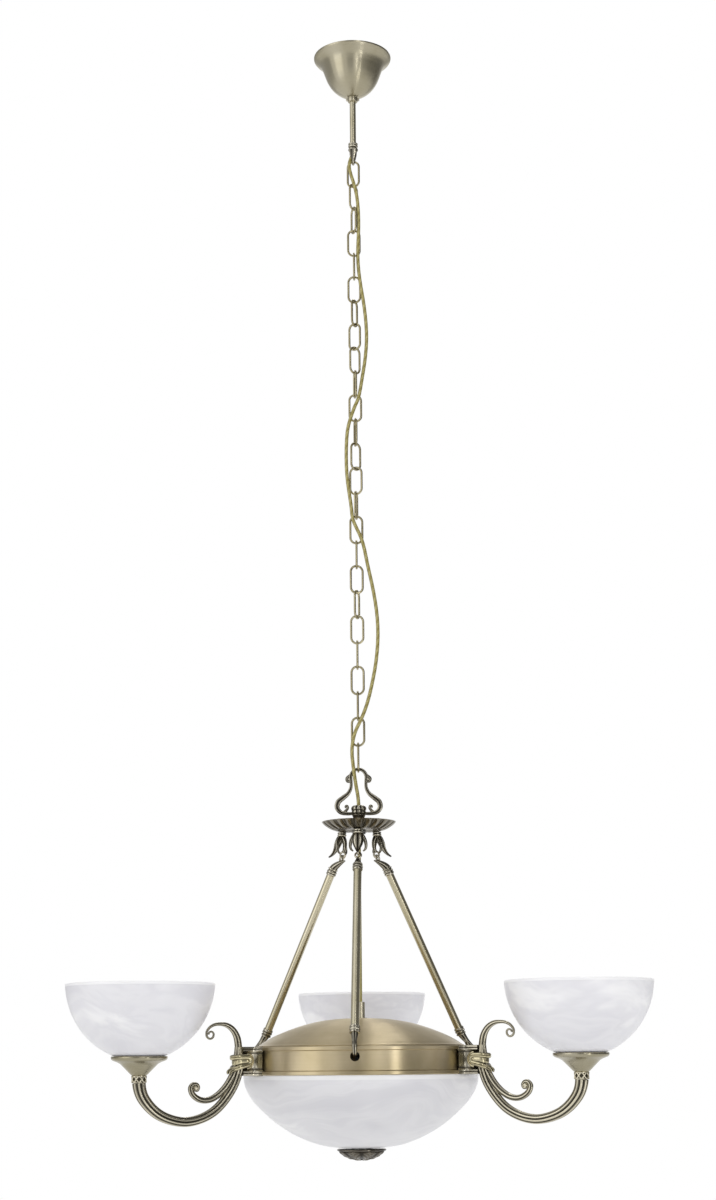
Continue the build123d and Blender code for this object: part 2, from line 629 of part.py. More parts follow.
bore_start = [(150.0, wire_height), (158.0, wire_height - 0.3), (163.0, -1317.6), (165.0, -1326.0)]
bore_line = bore_start + sweep_line[2:-1] + [(arm_reach, arm_end_z + 3)]
arm -= drawn(bore_line, [wire_bore, wire_bore], 30)
for z in screw_heights:
    arm -= bar_between((150, 0, z), (shank_place + 2, 0, z), 2.0 + screw_gap)
bracket_screws = []
for z, screw_end in zip(screw_heights, (shank_place + 1.5, shank_place - 3.0)):
    shaft = bar_between((screw_start, 0, z), (screw_end, 0, z), 2.0)
    head_piece = bar_between((screw_start - 2.6, 0, z), (screw_start - 0.1, 0, z), 3.8)
    bracket_screws.append(shaft + head_piece)

# Ribbon tied round each shank: two wraps joined by a loop on both sides of the web
knot_top = -1306.0
knot_foot = -1325.0
leg_in = shank_deep + 0.3
leg_out = shank_deep + 3.0
loop_start = 146.0


def sleeve(wide, deep, start):
    """Upright bar with straight sides from the start to the shank and a round end past it."""
    body = block(start, shank_place, -deep, deep, knot_foot, knot_top)
    nose = Pos(shank_place, 0, knot_foot) * extrude(Ellipse(wide, deep), knot_top - knot_foot)
    return body + nose


knot = sleeve(shank_wide + 2.7, leg_out, loop_start) - sleeve(shank_wide + 0.1, leg_in, loop_start - 1)
for side in (-1, 1):
    knot -= block(149, 163, side * 5, side * 20, -1317.4, -1313.6)
knot -= drawn(lower_line[:4], [4.3, 4.1, 3.5, 3.1], 10)

# Cups and the collars under them
cup_line = [
    (cup_radius - 1.2, cup_rim), (cup_radius, cup_rim), (cup_radius + 0.2, cup_rim - 2.2),
    (cup_radius - 1.4, -1311.4),
    (26.0, -1313.2), (21.7, -1315.2), (16.8, -1320.0), (12.8, -1324.0), (8.9, cup_foot), (stem_radius, cup_foot),
    (stem_radius, cup_foot + 1.2), (8.2, cup_foot + 1.2), (11.8, -1323.0), (15.8, -1319.0), (20.6, -1314.2),
    (25.4, -1312.0), (30.2, -1310.2), (30.8, -1308.8),
]
cup = turned(cup_line)
collar_under = turned([
    (3.6, cup_foot), (8.0, cup_foot), (8.3, cup_foot - 1.4), (7.6, cup_foot - 2.2), (7.6, collar_low + 2.6),
    (8.3, collar_low + 1.6), (8.1, arm_end_z), (3.6, arm_end_z),
])

# Lampholder with a flange under the glass and a bulb cap's space, and the ring that clamps the glass
holder_foot = cup_foot + 1.3
holder = turned([
    (3.0, holder_foot), (8.0, holder_foot), (11.0, -1322.6), (11.0, -1311.0), (18.0, -1310.4),
    (18.0, seat_z - 0.1), (holder_radius, seat_z - 0.1), (holder_radius, holder_top), (cap_radius + 1.1, holder_top),
    (cap_radius + 1.1, -1307.0), (3.0, -1307.0),
])
clamp_ring = turned([
    (holder_radius + 0.1, seat_z + glass_wall + 0.1), (18.5, seat_z + glass_wall + 0.1), (18.5, seat_z + 8.4),
    (17.0, seat_z + 9.4), (holder_radius + 0.1, seat_z + 9.4),
])

# Glass shade: a deep bowl with a neck hole
shade_line = [
    (shade_radius, shade_rim), (82.7, -1245.0), (75.8, -1263.6), (65.3, -1280.0), (52.4, -1293.0), (40.9, -1301.0),
    (31.0, -1305.8), (21.0, seat_z),
]
shade = spun(shade_line, glass_wall) - rod(22.0, seat_z - 2, seat_z + 12)
shade += rod(22.5, seat_z, seat_z + glass_wall) - rod(neck_hole, seat_z - 1, seat_z + glass_wall + 1)


def bulb(foot, top, radius):
    """Small round bulb with its screw cap down, about the Z axis."""
    centre = top - radius
    glass = Pos(0, 0, centre) * Sphere(radius)
    neck_low = foot + 20
    glass += turned(
        [(0, neck_low), (8.0, neck_low), (9.5, neck_low + 8), (17.5, centre - 13), (0, centre - 13)]
    )
    cap = turned([
        (0, foot), (2.6, foot), (4.6, foot + 3), (cap_radius, foot + 4), (cap_radius, neck_low - 0.1),
        (0, neck_low - 0.1),
    ])
    return glass, cap


arm_bulb = bulb(-1306.0, bulb_top, bulb_radius)
arm_pieces = {"lampholders": [], "rings": [], "bulbs": [], "screws": []}
for number, turn in enumerate(arm_turns, 1):
    save(f"bracket_{number}", around(bracket, turn))
    save(f"arm_{number}", around(arm, turn))
    save(f"knot_{number}", around(knot, turn))
    to_cup = Rot(0, 0, turn) * Pos(arm_reach, 0, 0)
    save(f"cup_{number}", to_cup * cup, to_cup * collar_under)
    save(f"shade_{number}", to_cup * shade)
    arm_pieces["lampholders"].append(to_cup * holder)
    arm_pieces["rings"].append(to_cup * clamp_ring)
    arm_pieces["bulbs"] += [to_cup * piece for piece in arm_bulb]
    arm_pieces["screws"] += [around(piece, turn) for piece in bracket_screws]
save("bracket_screws", *arm_pieces["screws"])
save("arm_lampholders", *arm_pieces["lampholders"])
save("shade_rings", *arm_pieces["rings"])
save("arm_bulbs", *arm_pieces["bulbs"])

# The two lamps inside the bowl, lying outward from the spider's tabs
lamp_start = lamp_tab + 0.1
bowl_holder = turned([
    (0, 0), (12.0, 0), (12.0, 26), (cap_radius + 1.1, 26), (cap_radius + 1.1, 8), (0, 8),
])
bowl_lamps = []
bowl_holders = []
for side in (0, 180):
    lay = Rot(0, 0, side) * Pos(lamp_start, 0, bowl_lamp_z) * Rot(0, 90, 0)
    bowl_holders.append(lay * bowl_holder)
    bowl_lamps += [lay * piece for piece in bulb(8.3, 84.3, bulb_radius)]
save("bowl_lampholders", *bowl_holders)
save("bowl_bulbs", *bowl_lamps)

# Wires from the cable's end to the five lamps
wires = []
for turn in arm_turns:
    route = [(r, 0, z) for r, z in (
        (2.7, cable_foot - 0.1), (3.2, -1279), (8.6, -1290.5), (30.0, -1303), (58.0, -1309), (92.0, -1312.5),
        (122.0, wire_height), (148.0, wire_height - 0.1), (158.0, -1314.0), (163.2, -1318.0), (165.2, -1326.0),
        (168.8, -1337.0), (179.2, -1353.2), (195.2, -1368.6), (214.8, -1377.4), (231.6, -1379.6), (248.4, -1377.2),
        (264.4, -1370.6), (277.4, -1360.0), (285.6, -1349.0), (289.0, -1336.0), (288.9, holder_foot - 0.2),
    )]
    wires.append(around(tube_along(route, wire_radius), turn))
for turn in (0, 180):
    route = [(r, 0, z) for r, z in (
        (0.9, cable_foot - 0.1), (1.1, -1279), (5.0, -1288), (13.0, -1301), (22.0, -1314), (29.0, -1324),
        (30.0, bowl_lamp_z + 12.4),
    )]
    wires.append(around(tube_along(route, 0.7), turn))
save("lamp_wires", *wires)
print("chain foot", round(chain_foot, 2), "loop top", round(loop_top, 2))
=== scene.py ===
"""Finishes, castings, glass and stage of a five-light chandelier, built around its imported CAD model."""

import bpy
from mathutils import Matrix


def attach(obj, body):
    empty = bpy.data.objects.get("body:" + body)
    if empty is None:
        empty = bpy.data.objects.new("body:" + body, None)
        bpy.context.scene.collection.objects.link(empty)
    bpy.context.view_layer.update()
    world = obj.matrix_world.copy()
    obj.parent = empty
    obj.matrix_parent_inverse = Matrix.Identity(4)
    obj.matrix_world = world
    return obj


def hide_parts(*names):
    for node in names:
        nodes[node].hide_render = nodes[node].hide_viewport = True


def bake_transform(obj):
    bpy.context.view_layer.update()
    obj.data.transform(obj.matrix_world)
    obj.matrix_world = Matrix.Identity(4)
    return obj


bl_info = {
    "name": "Five-Light Chandelier",
    "version": (1, 0, 0),
    "blender": (4, 5, 0),
    "location": "3D View > Sidebar > Chandelier",
    "description": "Dresses a five-light chandelier with reeded castings, brushed brass and alabaster glass",
    "category": "Object",
}

import math

import bmesh
import bpy
from bpy.props import FloatProperty, FloatVectorProperty, IntProperty, PointerProperty
from mathutils import Matrix, Vector

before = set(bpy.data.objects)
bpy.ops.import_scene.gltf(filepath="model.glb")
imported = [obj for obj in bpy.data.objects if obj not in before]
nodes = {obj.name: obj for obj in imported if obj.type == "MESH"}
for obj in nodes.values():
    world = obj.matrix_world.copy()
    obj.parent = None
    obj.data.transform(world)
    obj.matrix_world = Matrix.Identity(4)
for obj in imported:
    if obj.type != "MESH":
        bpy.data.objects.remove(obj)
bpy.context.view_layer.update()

# Lengths are in millimetres, apart from the cord's routes, the settings and the stage, which are in metres
MM = 0.001
WELD = 2e-6
SHARP_EDGE = math.radians(42)
ARM_TURNS = (210.0, 330.0, 90.0)
ROD_TURNS = (267.6, 27.6, 147.6)
ARM_REACH = 289.0
ACROSS = Vector((0, 1, 0))


# Lines and sections

def smooth_line(corners, steps):
    """Smooth line through the corners, with a number of steps between each two."""
    places = [Vector(c) if len(c) == 3 else Vector((c[0], 0, c[1])) for c in corners]
    runs = [max((b - a).length, 1e-6) for a, b in zip(places, places[1:])]
    slopes = [(b - a) / run for a, b, run in zip(places, places[1:], runs)]
    ways = []
    for first, second, run_in, run_out in zip(slopes, slopes[1:], runs, runs[1:]):
        ways.append((first * run_out + second * run_in) / (run_in + run_out))
    ways = [2 * slopes[0] - ways[0]] + ways + [2 * slopes[-1] - ways[-1]]
    line = []
    for i in range(len(runs)):
        for k in range(steps):
            t = k / steps
            ahead = t * t * (3 - 2 * t)
            line.append(
                places[i] * (1 - ahead)
                + places[i + 1] * ahead
                + ways[i] * runs[i] * t * (1 - t) ** 2
                - ways[i + 1] * runs[i] * t * t * (1 - t)
            )
    return line + places[-1:]


def outline_of(corners, steps):
    """Smooth outline of revolution as (radius, height)."""
    return [(p.x, p.z) for p in smooth_line(corners, steps)]


def inside_of(outline, wall):
    """The same outline moved in by a wall's thickness."""
    moved = []
    for i, (radius, height) in enumerate(outline):
        before = outline[max(i - 1, 0)]
        after = outline[min(i + 1, len(outline) - 1)]
        run = Vector((after[0] - before[0], after[1] - before[1])).normalized()
        moved.append((max(radius + run.y * wall, 0.0), height - run.x * wall))
    return moved


def between(values, part):
    """Value at a part of the way, from 0 to 1, through a list of evenly spaced values."""
    if not isinstance(values, (list, tuple)):
        return values
    place = min(max(part, 0.0), 1.0) * (len(values) - 1)
    low = min(int(place), len(values) - 2)
    return values[low] + (values[low + 1] - values[low]) * (place - low)


def reeded(widths, count, cut, deep=1.0):
    """Section of a bar whose surface is a bundle of round reeds, with dark grooves between them."""

    def section(part, angle):
        hollow = 1 - abs(math.sin(count / 2 * angle))
        size = between(widths, part) * (1 - cut * hollow)
        return size, size * deep, min(1.0, 2.1 * hollow)

    return section


def plain(widths, deep=1.0):
    """Smooth round or oval section."""
    return lambda part, angle: (between(widths, part), between(widths, part) * deep, 0.0)


def marked(outline, places, strength=1.0):
    """Relief that leaves a turned outline smooth and gives some of its points a groove value."""
    last = len(outline) - 1
    return lambda angle, part: (0.0, strength if round(part * last) in places else 0.0)


class Form:
    """Mesh in the making: points with a groove value each, and faces with a grain coordinate at each corner."""

    def __init__(self):
        self.points = []
        self.grooves = []
        self.faces = []

    def grid(self, rows, grooves, loop_rows=False, caps=True):
        """Skin over rows of points; each row is a closed ring."""
        start = len(self.points)
        width = len(rows[0])
        lengths = [0.0]
        for a, b in zip(rows, rows[1:] + rows[:1]):
            lengths.append(lengths[-1] + (b[0] - a[0]).length * MM)
        for row, values in zip(rows, grooves):
            self.points += row
            self.grooves += values
        for i in range(len(rows) if loop_rows else len(rows) - 1):
            near = start + i * width
            far = start + (i + 1) % len(rows) * width
            for j in range(width):
                k = (j + 1) % width
                left, right = j / width, (j + 1) / width
                self.faces.append((
                    (near + j, near + k, far + k, far + j),
                    ((left, lengths[i]), (right, lengths[i]), (right, lengths[i + 1]), (left, lengths[i + 1])),
                ))
        if caps and not loop_rows:
            for i in (0, len(rows) - 1):
                corners = [start + i * width + j for j in range(width)]
                self.faces.append((tuple(corners), tuple((0.0, lengths[i]) for _ in corners)))
        return self

    def turned(self, outline, columns, relief=None, closed=True):
        """Shape of revolution; relief(angle, part) pushes the surface out and gives its groove."""
        rows, grooves = [], []
        for i, (radius, height) in enumerate(outline):
            before = outline[i - 1 if closed or i else 0]
            after = outline[(i + 1) % len(outline) if closed else min(i + 1, len(outline) - 1)]
            run = Vector((after[0] - before[0], after[1] - before[1]))
            run = run.normalized() if run.length > 1e-9 else Vector((0, -1))
            row, values = [], []
            for j in range(columns):
                angle = 2 * math.pi * j / columns
                push, groove = relief(angle, i / (len(outline) - 1)) if relief else (0.0, 0.0)
                reach = max(radius - run.y * push, 0.0)
                row.append(Vector((reach * math.cos(angle), reach * math.sin(angle), height + run.x * push)))
                values.append(groove)
            rows.append(row)
            grooves.append(values)
        return self.grid(rows, grooves, closed, caps=False)

    def bar(self, line, up, section, columns, closed=False):
        """Bar along a line; up is one direction or one for each point, and lies across the section."""
        rows, grooves = [], []
        last = len(line) - 1
        for i, place in enumerate(line):
            before = line[i - 1] if closed or i else line[0]
            after = line[(i + 1) % len(line)] if closed or i < last else line[last]
            ahead = (after - before).normalized()
            side = up[i] if isinstance(up, list) else up
            side = (side - ahead * side.dot(ahead)).normalized()
            level = ahead.cross(side)
            row, values = [], []
            for j in range(columns):
                angle = 2 * math.pi * j / columns
                wide, deep, groove = section(i / max(last, 1), angle)
                row.append(place + level * wide * math.cos(angle) + side * deep * math.sin(angle))
                values.append(groove)
            rows.append(row)
            grooves.append(values)
        return self.grid(rows, grooves, closed)

    def strand(self, corners, widths, reeds, cut, steps=6, columns=30, up=ACROSS, deep=1.0):
        """Reeded bar along a smooth line through the corners."""
        return self.bar(smooth_line(corners, steps), up, reeded(widths, reeds, cut, deep), columns)

    def ball(self, centre, radius):
        """Ball about a centre."""
        angles = [math.pi * i / 16 for i in range(17)]
        outline = [(radius * math.sin(a), radius * math.cos(a)) for a in angles]
        return self.add(Form().turned(outline, 32, closed=False), Matrix.Translation(centre))

    def add(self, other, place):
        """Takes in another form at a place."""
        start = len(self.points)
        self.points += [place @ p for p in other.points]
        self.grooves += other.grooves
        for corners, grain in other.faces:
            self.faces.append((tuple(c + start for c in corners), grain))
        return self

    def piece(self, name, finish, body, slot, stands_for=(), turn=0.0, out=0.0):
        """Makes the object, in place on its body."""
        place = Matrix.Rotation(math.radians(turn), 4, "Z") @ Matrix.Translation((out, 0, 0))
        mesh = bpy.data.meshes.new(name)
        build = bmesh.new()
        grain = build.loops.layers.uv.new("grain")
        groove = build.verts.layers.float.new("groove")
        made = []
        for point, value in zip(self.points, self.grooves):
            vert = build.verts.new(place @ point * MM)
            vert[groove] = value
            made.append(vert)
        for corners, coordinates in self.faces:
            face = build.faces.new([made[c] for c in corners])
            face.smooth = True
            for loop, coordinate in zip(face.loops, coordinates):
                loop[grain].uv = coordinate
        bmesh.ops.remove_doubles(build, verts=build.verts, dist=WELD)
        bmesh.ops.recalc_face_normals(build, faces=build.faces)
        build.to_mesh(mesh)
        build.free()
        mesh.set_sharp_from_angle(angle=SHARP_EDGE)
        mesh.materials.append(finish)
        made_object = bpy.data.objects.new(name, mesh)
        bpy.context.scene.collection.objects.link(made_object)
        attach(made_object, body)
        if stands_for:
            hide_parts(*stands_for)
        return made_object


# Finishes

def new_finish(name):
    """Empty finish; returns its node tree and its shader."""
    finish = bpy.data.materials.new(name)
    finish.use_nodes = True
    return finish.node_tree, finish.node_tree.nodes["Principled BSDF"]


def node(tree, kind, inputs=(), **settings):
    """Adds a node; inputs pair a socket with a value or with another node's output."""
    made = tree.nodes.new(kind)
    for key, value in settings.items():
        setattr(made, key, value)
    for key, value in dict(inputs).items():
        if isinstance(value, bpy.types.NodeSocket):
            tree.links.new(value, made.inputs[key])
        else:
            made.inputs[key].default_value = value
    return made


def grey_steps(tree, factor, stops):
    """Soft ramp through (place, level) stops of grey; returns its colour output."""
    ramp = node(tree, "ShaderNodeValToRGB", {"Fac": factor})
    ramp.color_ramp.interpolation = "EASE"
    while len(ramp.color_ramp.elements) < len(stops):
        ramp.color_ramp.elements.new(0.5)
    for element, (place, level) in zip(ramp.color_ramp.elements, stops):
        element.position = place
        element.color = (level, level, level, 1)
    return ramp.outputs["Color"]


def mixed(tree, factor, first, second):
    """Mix of two colours; returns the colour output."""
    mix = node(tree, "ShaderNodeMix", data_type="RGBA")
    for index, value in ((0, factor), (6, first), (7, second)):
        if isinstance(value, bpy.types.NodeSocket):
            tree.links.new(value, mix.inputs[index])
        else:
            mix.inputs[index].default_value = value if index == 0 else (*value[:3], 1)
    return mix.outputs[2]


def noise(tree, vector, scale, detail, rough):
    """Noise value in a stretched space."""
    return node(
        tree, "ShaderNodeTexNoise", {"Vector": vector, "Scale": scale, "Detail": detail, "Roughness": rough}
    ).outputs["Fac"]


def stretched(tree, source, size):
    """Coordinate multiplied by a size along each axis."""
    return node(tree, "ShaderNodeVectorMath", {0: source, 1: size}, operation="MULTIPLY").outputs["Vector"]


def maths(tree, operation, *values):
    """Arithmetic on values or outputs; returns the result's output."""
    return node(tree, "ShaderNodeMath", dict(enumerate(values)), operation=operation).outputs["Value"]


def ranged(tree, value, low=0.0, high=1.0, to_low=0.0, to_high=1.0):
    """Value moved from one range to another; returns the result's output."""
    return node(
        tree, "ShaderNodeMapRange",
        {"Value": value, "From Min": low, "From Max": high, "To Min": to_low, "To Max": to_high},
    ).outputs["Result"]


def bumpy(tree, shader, height, strength, distance):
    """Gives the shader a bump from a height value."""
    bumps = node(tree, "ShaderNodeBump", {"Height": height, "Strength": strength, "Distance": distance})
    tree.links.new(bumps.outputs["Normal"], shader.inputs["Normal"])


def metal(name, pale, deep, rough, grain, lines, bump, anisotropic, specks):
    """Aged brass: pale and deep tones in clouds, fine lines along the grain, and dark patina in the grooves; on the
    knots the groove value also paints shade along edges and inner faces.
    """
    tree, shader = new_finish(name)
    dark = bpy.context.scene.chandelier_finishes.patina_and_painted_shade
    place = node(tree, "ShaderNodeTexCoord")
    groove = node(tree, "ShaderNodeAttribute", attribute_name="groove").outputs["Fac"]
    source, size = {
        "around": ("UV", (2.0, lines, 1.0)),
        "along": ("UV", (lines / 40.0, 4.0, 1.0)),
        "level": ("Object", (2.0, 2.0, lines)),
        "cast": ("Object", (lines, lines, lines)),
    }[grain]
    line_value = noise(tree, stretched(tree, place.outputs[source], size), 1.0, 2.0, 0.6)
    cloud = noise(tree, place.outputs["Object"], 26.0, 3.0, 0.55)
    wide_cloud = noise(tree, place.outputs["Object"], 7.0, 2.0, 0.5)
    tone = ranged(tree, maths(tree, "ADD", cloud, wide_cloud), 0.72, 1.28)
    colour = mixed(tree, tone, deep, pale)
    colour = mixed(tree, ranged(tree, line_value, 0.3, 0.7, 0.0, 0.34), colour, deep)
    speck = noise(tree, place.outputs["Object"], 420.0, 4.0, 0.65)
    colour = mixed(tree, ranged(tree, speck, 0.62, 0.74, 0.0, specks), colour, dark)
    # Dark patina in real grooves; the knots' edges and inner faces get painted shade from the same mix.
    colour = mixed(tree, maths(tree, "MULTIPLY", groove, 0.92), colour, dark)
    roughness = ranged(tree, line_value, to_low=rough - 0.07, to_high=rough + 0.09)
    bumpy(tree, shader, line_value, bump * 10, 0.00012)
    tree.links.new(colour, shader.inputs["Base Color"])
    tree.links.new(maths(tree, "MULTIPLY_ADD", groove, 0.25, roughness), shader.inputs["Roughness"])
    shader.inputs["Metallic"].default_value = 1.0
    shader.inputs["Anisotropic"].default_value = anisotropic
    if anisotropic:
        shader.inputs["Anisotropic Rotation"].default_value = 0.25
        tangent = node(tree, "ShaderNodeTangent", direction_type="RADIAL", axis="Z")
        tree.links.new(tangent.outputs["Tangent"], shader.inputs["Tangent"])


def alabaster(name, base, veil_and_lip_highlight, shade, swirl):
    """Satin white glass with faint lighter veils; the groove value paints a highlight on the rim."""
    tree, shader = new_finish(name)
    place = node(tree, "ShaderNodeTexCoord").outputs["Object"]
    bend = node(tree, "ShaderNodeTexNoise", {"Vector": place, "Scale": 7.0, "Detail": 2.0}).outputs["Color"]
    pushed = node(tree, "ShaderNodeVectorMath", {0: bend, 1: (0.16, 0.16, 0.10), 2: place}, operation="MULTIPLY_ADD")
    cloud = noise(tree, stretched(tree, pushed.outputs["Vector"], swirl), 1.0, 4.0, 0.55)
    broad = noise(tree, place, 11.0, 2.0, 0.5)
    streaks = grey_steps(tree, cloud, ((0.40, 0.0), (0.50, 0.35), (0.54, 0.15), (0.66, 1.0), (0.74, 0.5)))
    colour = mixed(tree, ranged(tree, broad, 0.3, 0.7), shade, base)
    colour = mixed(tree, streaks, colour, veil_and_lip_highlight)
    # Painted highlight: the groove value lightens the lip and the points beside it.
    rim = node(tree, "ShaderNodeAttribute", attribute_name="groove").outputs["Fac"]
    colour = mixed(tree, rim, colour, veil_and_lip_highlight)
    bumpy(tree, shader, noise(tree, place, 60.0, 2.0, 0.5), 0.12, 0.0006)
    tree.links.new(colour, shader.inputs["Base Color"])
    shader.inputs["Roughness"].default_value = 0.34
    shader.inputs["IOR"].default_value = 1.5
    shader.inputs["Subsurface Weight"].default_value = 0.35
    shader.inputs["Subsurface Radius"].default_value = (0.02, 0.02, 0.022)
    shader.inputs["Subsurface Scale"].default_value = 0.5
    shader.inputs["Coat Weight"].default_value = 0.25
    shader.inputs["Coat Roughness"].default_value = 0.22


def simple(name, colour, second, rough, metallic, scale, bump, coat=0.0):
    """Plain finish with a slight change of tone and a slight texture."""
    tree, shader = new_finish(name)
    place = node(tree, "ShaderNodeTexCoord").outputs["Object"]
    value = noise(tree, place, scale, 4.0, 0.6)
    tree.links.new(mixed(tree, value, colour, second), shader.inputs["Base Color"])
    bumpy(tree, shader, value, bump, 0.0004)
    shader.inputs["Roughness"].default_value = rough
    shader.inputs["Metallic"].default_value = metallic
    shader.inputs["Coat Weight"].default_value = coat


def cord_finish(name, gold, olive):
    """Translucent gold sheath over darker twisted wires."""
    tree, shader = new_finish(name)
    uv = node(tree, "ShaderNodeTexCoord").outputs["UV"]
    parts = node(tree, "ShaderNodeSeparateXYZ", {0: uv})
    turn = maths(tree, "MULTIPLY_ADD", parts.outputs["Y"], 45.0, parts.outputs["X"])
    wave = maths(tree, "SINE", maths(tree, "MULTIPLY", turn, 4 * math.pi))
    tree.links.new(mixed(tree, ranged(tree, wave, -1.0, 1.0), olive, gold), shader.inputs["Base Color"])
    shader.inputs["Roughness"].default_value = 0.28
    shader.inputs["Metallic"].default_value = 0.25
    shader.inputs["Coat Weight"].default_value = 0.7
    shader.inputs["Coat Roughness"].default_value = 0.12


def dress(finish, *names):
    """Gives CAD nodes a finish."""
    for name in names:
        mesh = nodes[name].data
        mesh.materials.clear()
        mesh.materials.append(finish)


def shaded(colour, share):
    """Darker shade of a colour."""
    return tuple(c * share for c in colour)


def finishes():
    """All finishes, made once from the chosen colours and kept by name."""
    ready = {m.name: m for m in bpy.data.materials}
    if "spun_brass" in ready:
        return ready
    tones = bpy.context.scene.chandelier_finishes
    pale, deep = tones.pale_brass, tones.olive_brass
    warm, warm_deep = tones.warm_brass, tones.warm_olive
    rubbed, gold, bronze = tones.rubbed_brass, tones.knot_gold, tones.bronze
    # Name, pale and deep tone, roughness, grain, lines to the grain, bump, anisotropy and specks
    brasses = (
        ("spun_brass", shaded(pale, 0.76), shaded(deep, 0.74), 0.30, "around", 2200.0, 0.012, 0.9, 0.0),
        ("cup_brass", shaded(pale, 0.66), shaded(deep, 0.62), 0.26, "around", 2200.0, 0.012, 0.8, 0.0),
        ("dome_brass", warm, warm_deep, 0.38, "around", 2200.0, 0.012, 0.9, 0.0),
        ("band_brass", warm, warm_deep, 0.30, "level", 1500.0, 0.012, 0.8, 0.0),
        ("tube_brass", pale, deep, 0.20, "along", 900.0, 0.01, 0.0, 0.0),
        ("arm_brass", rubbed, shaded(rubbed, 0.66), 0.16, "cast", 300.0, 0.0, 0.0, 0.0),
        ("knot_brass", gold, shaded(gold, 0.62), 0.16, "cast", 300.0, 0.0, 0.0, 0.0),
        ("dark_brass", bronze, shaded(bronze, 0.5), 0.16, "cast", 300.0, 0.004, 0.0, 0.15),
        ("chain_brass", tones.chain_brass, tones.chain_olive, 0.14, "cast", 300.0, 0.004, 0.0, 0.3),
        ("finial_brass", tones.finial_brass, tones.finial_dark, 0.16, "cast", 300.0, 0.0, 0.0, 0.1),
        ("dish_brass", tones.dish_brass, tones.dish_dark, 0.18, "cast", 300.0, 0.0, 0.0, 0.1),
    )
    for brass in brasses:
        metal(*brass)
    glass, veil_and_lip_highlight, cloud = tones.glass, tones.glass_veil, tones.glass_shade
    alabaster("alabaster_shade", glass, veil_and_lip_highlight, cloud, (7.0, 7.0, 15.0))
    alabaster("alabaster_bowl", glass, veil_and_lip_highlight, shaded(cloud, 0.97), (3.0, 3.0, 34.0))
    cord_finish("gold_cord", tones.cord_gold, tones.cord_olive)
    # Name, two tones, roughness, metallic, scale of the texture, bump and coat
    simple("zinc_steel", (0.55, 0.55, 0.53), (0.42, 0.42, 0.41), 0.35, 1.0, 140.0, 0.1)
    simple("ceramic", (0.82, 0.80, 0.75), (0.76, 0.74, 0.69), 0.3, 0.0, 90.0, 0.05, 0.4)
    simple("white_plastic", (0.78, 0.77, 0.73), (0.70, 0.69, 0.65), 0.45, 0.0, 120.0, 0.08)
    simple("opal_lamp", (0.88, 0.88, 0.86), (0.82, 0.82, 0.80), 0.25, 0.0, 30.0, 0.02, 0.3)
    simple("sleeved_wire", (0.60, 0.50, 0.22), (0.45, 0.36, 0.14), 0.4, 0.0, 200.0, 0.05)
    return {m.name: m for m in bpy.data.materials}


def on_each_arm(form, name, finish, solid, slot="cast_brass", out=0.0):
    """Puts a copy of the form at each of the three arms, in place of the solid of that arm if one is named."""
    for number, turn in enumerate(ARM_TURNS, 1):
        stands_for = (f"{solid}_{number}",) if solid else ()
        form.piece(f"{name}_{number}", finish, "lamp_body", slot, stands_for, turn, out)


# Ceiling set, chain and cord

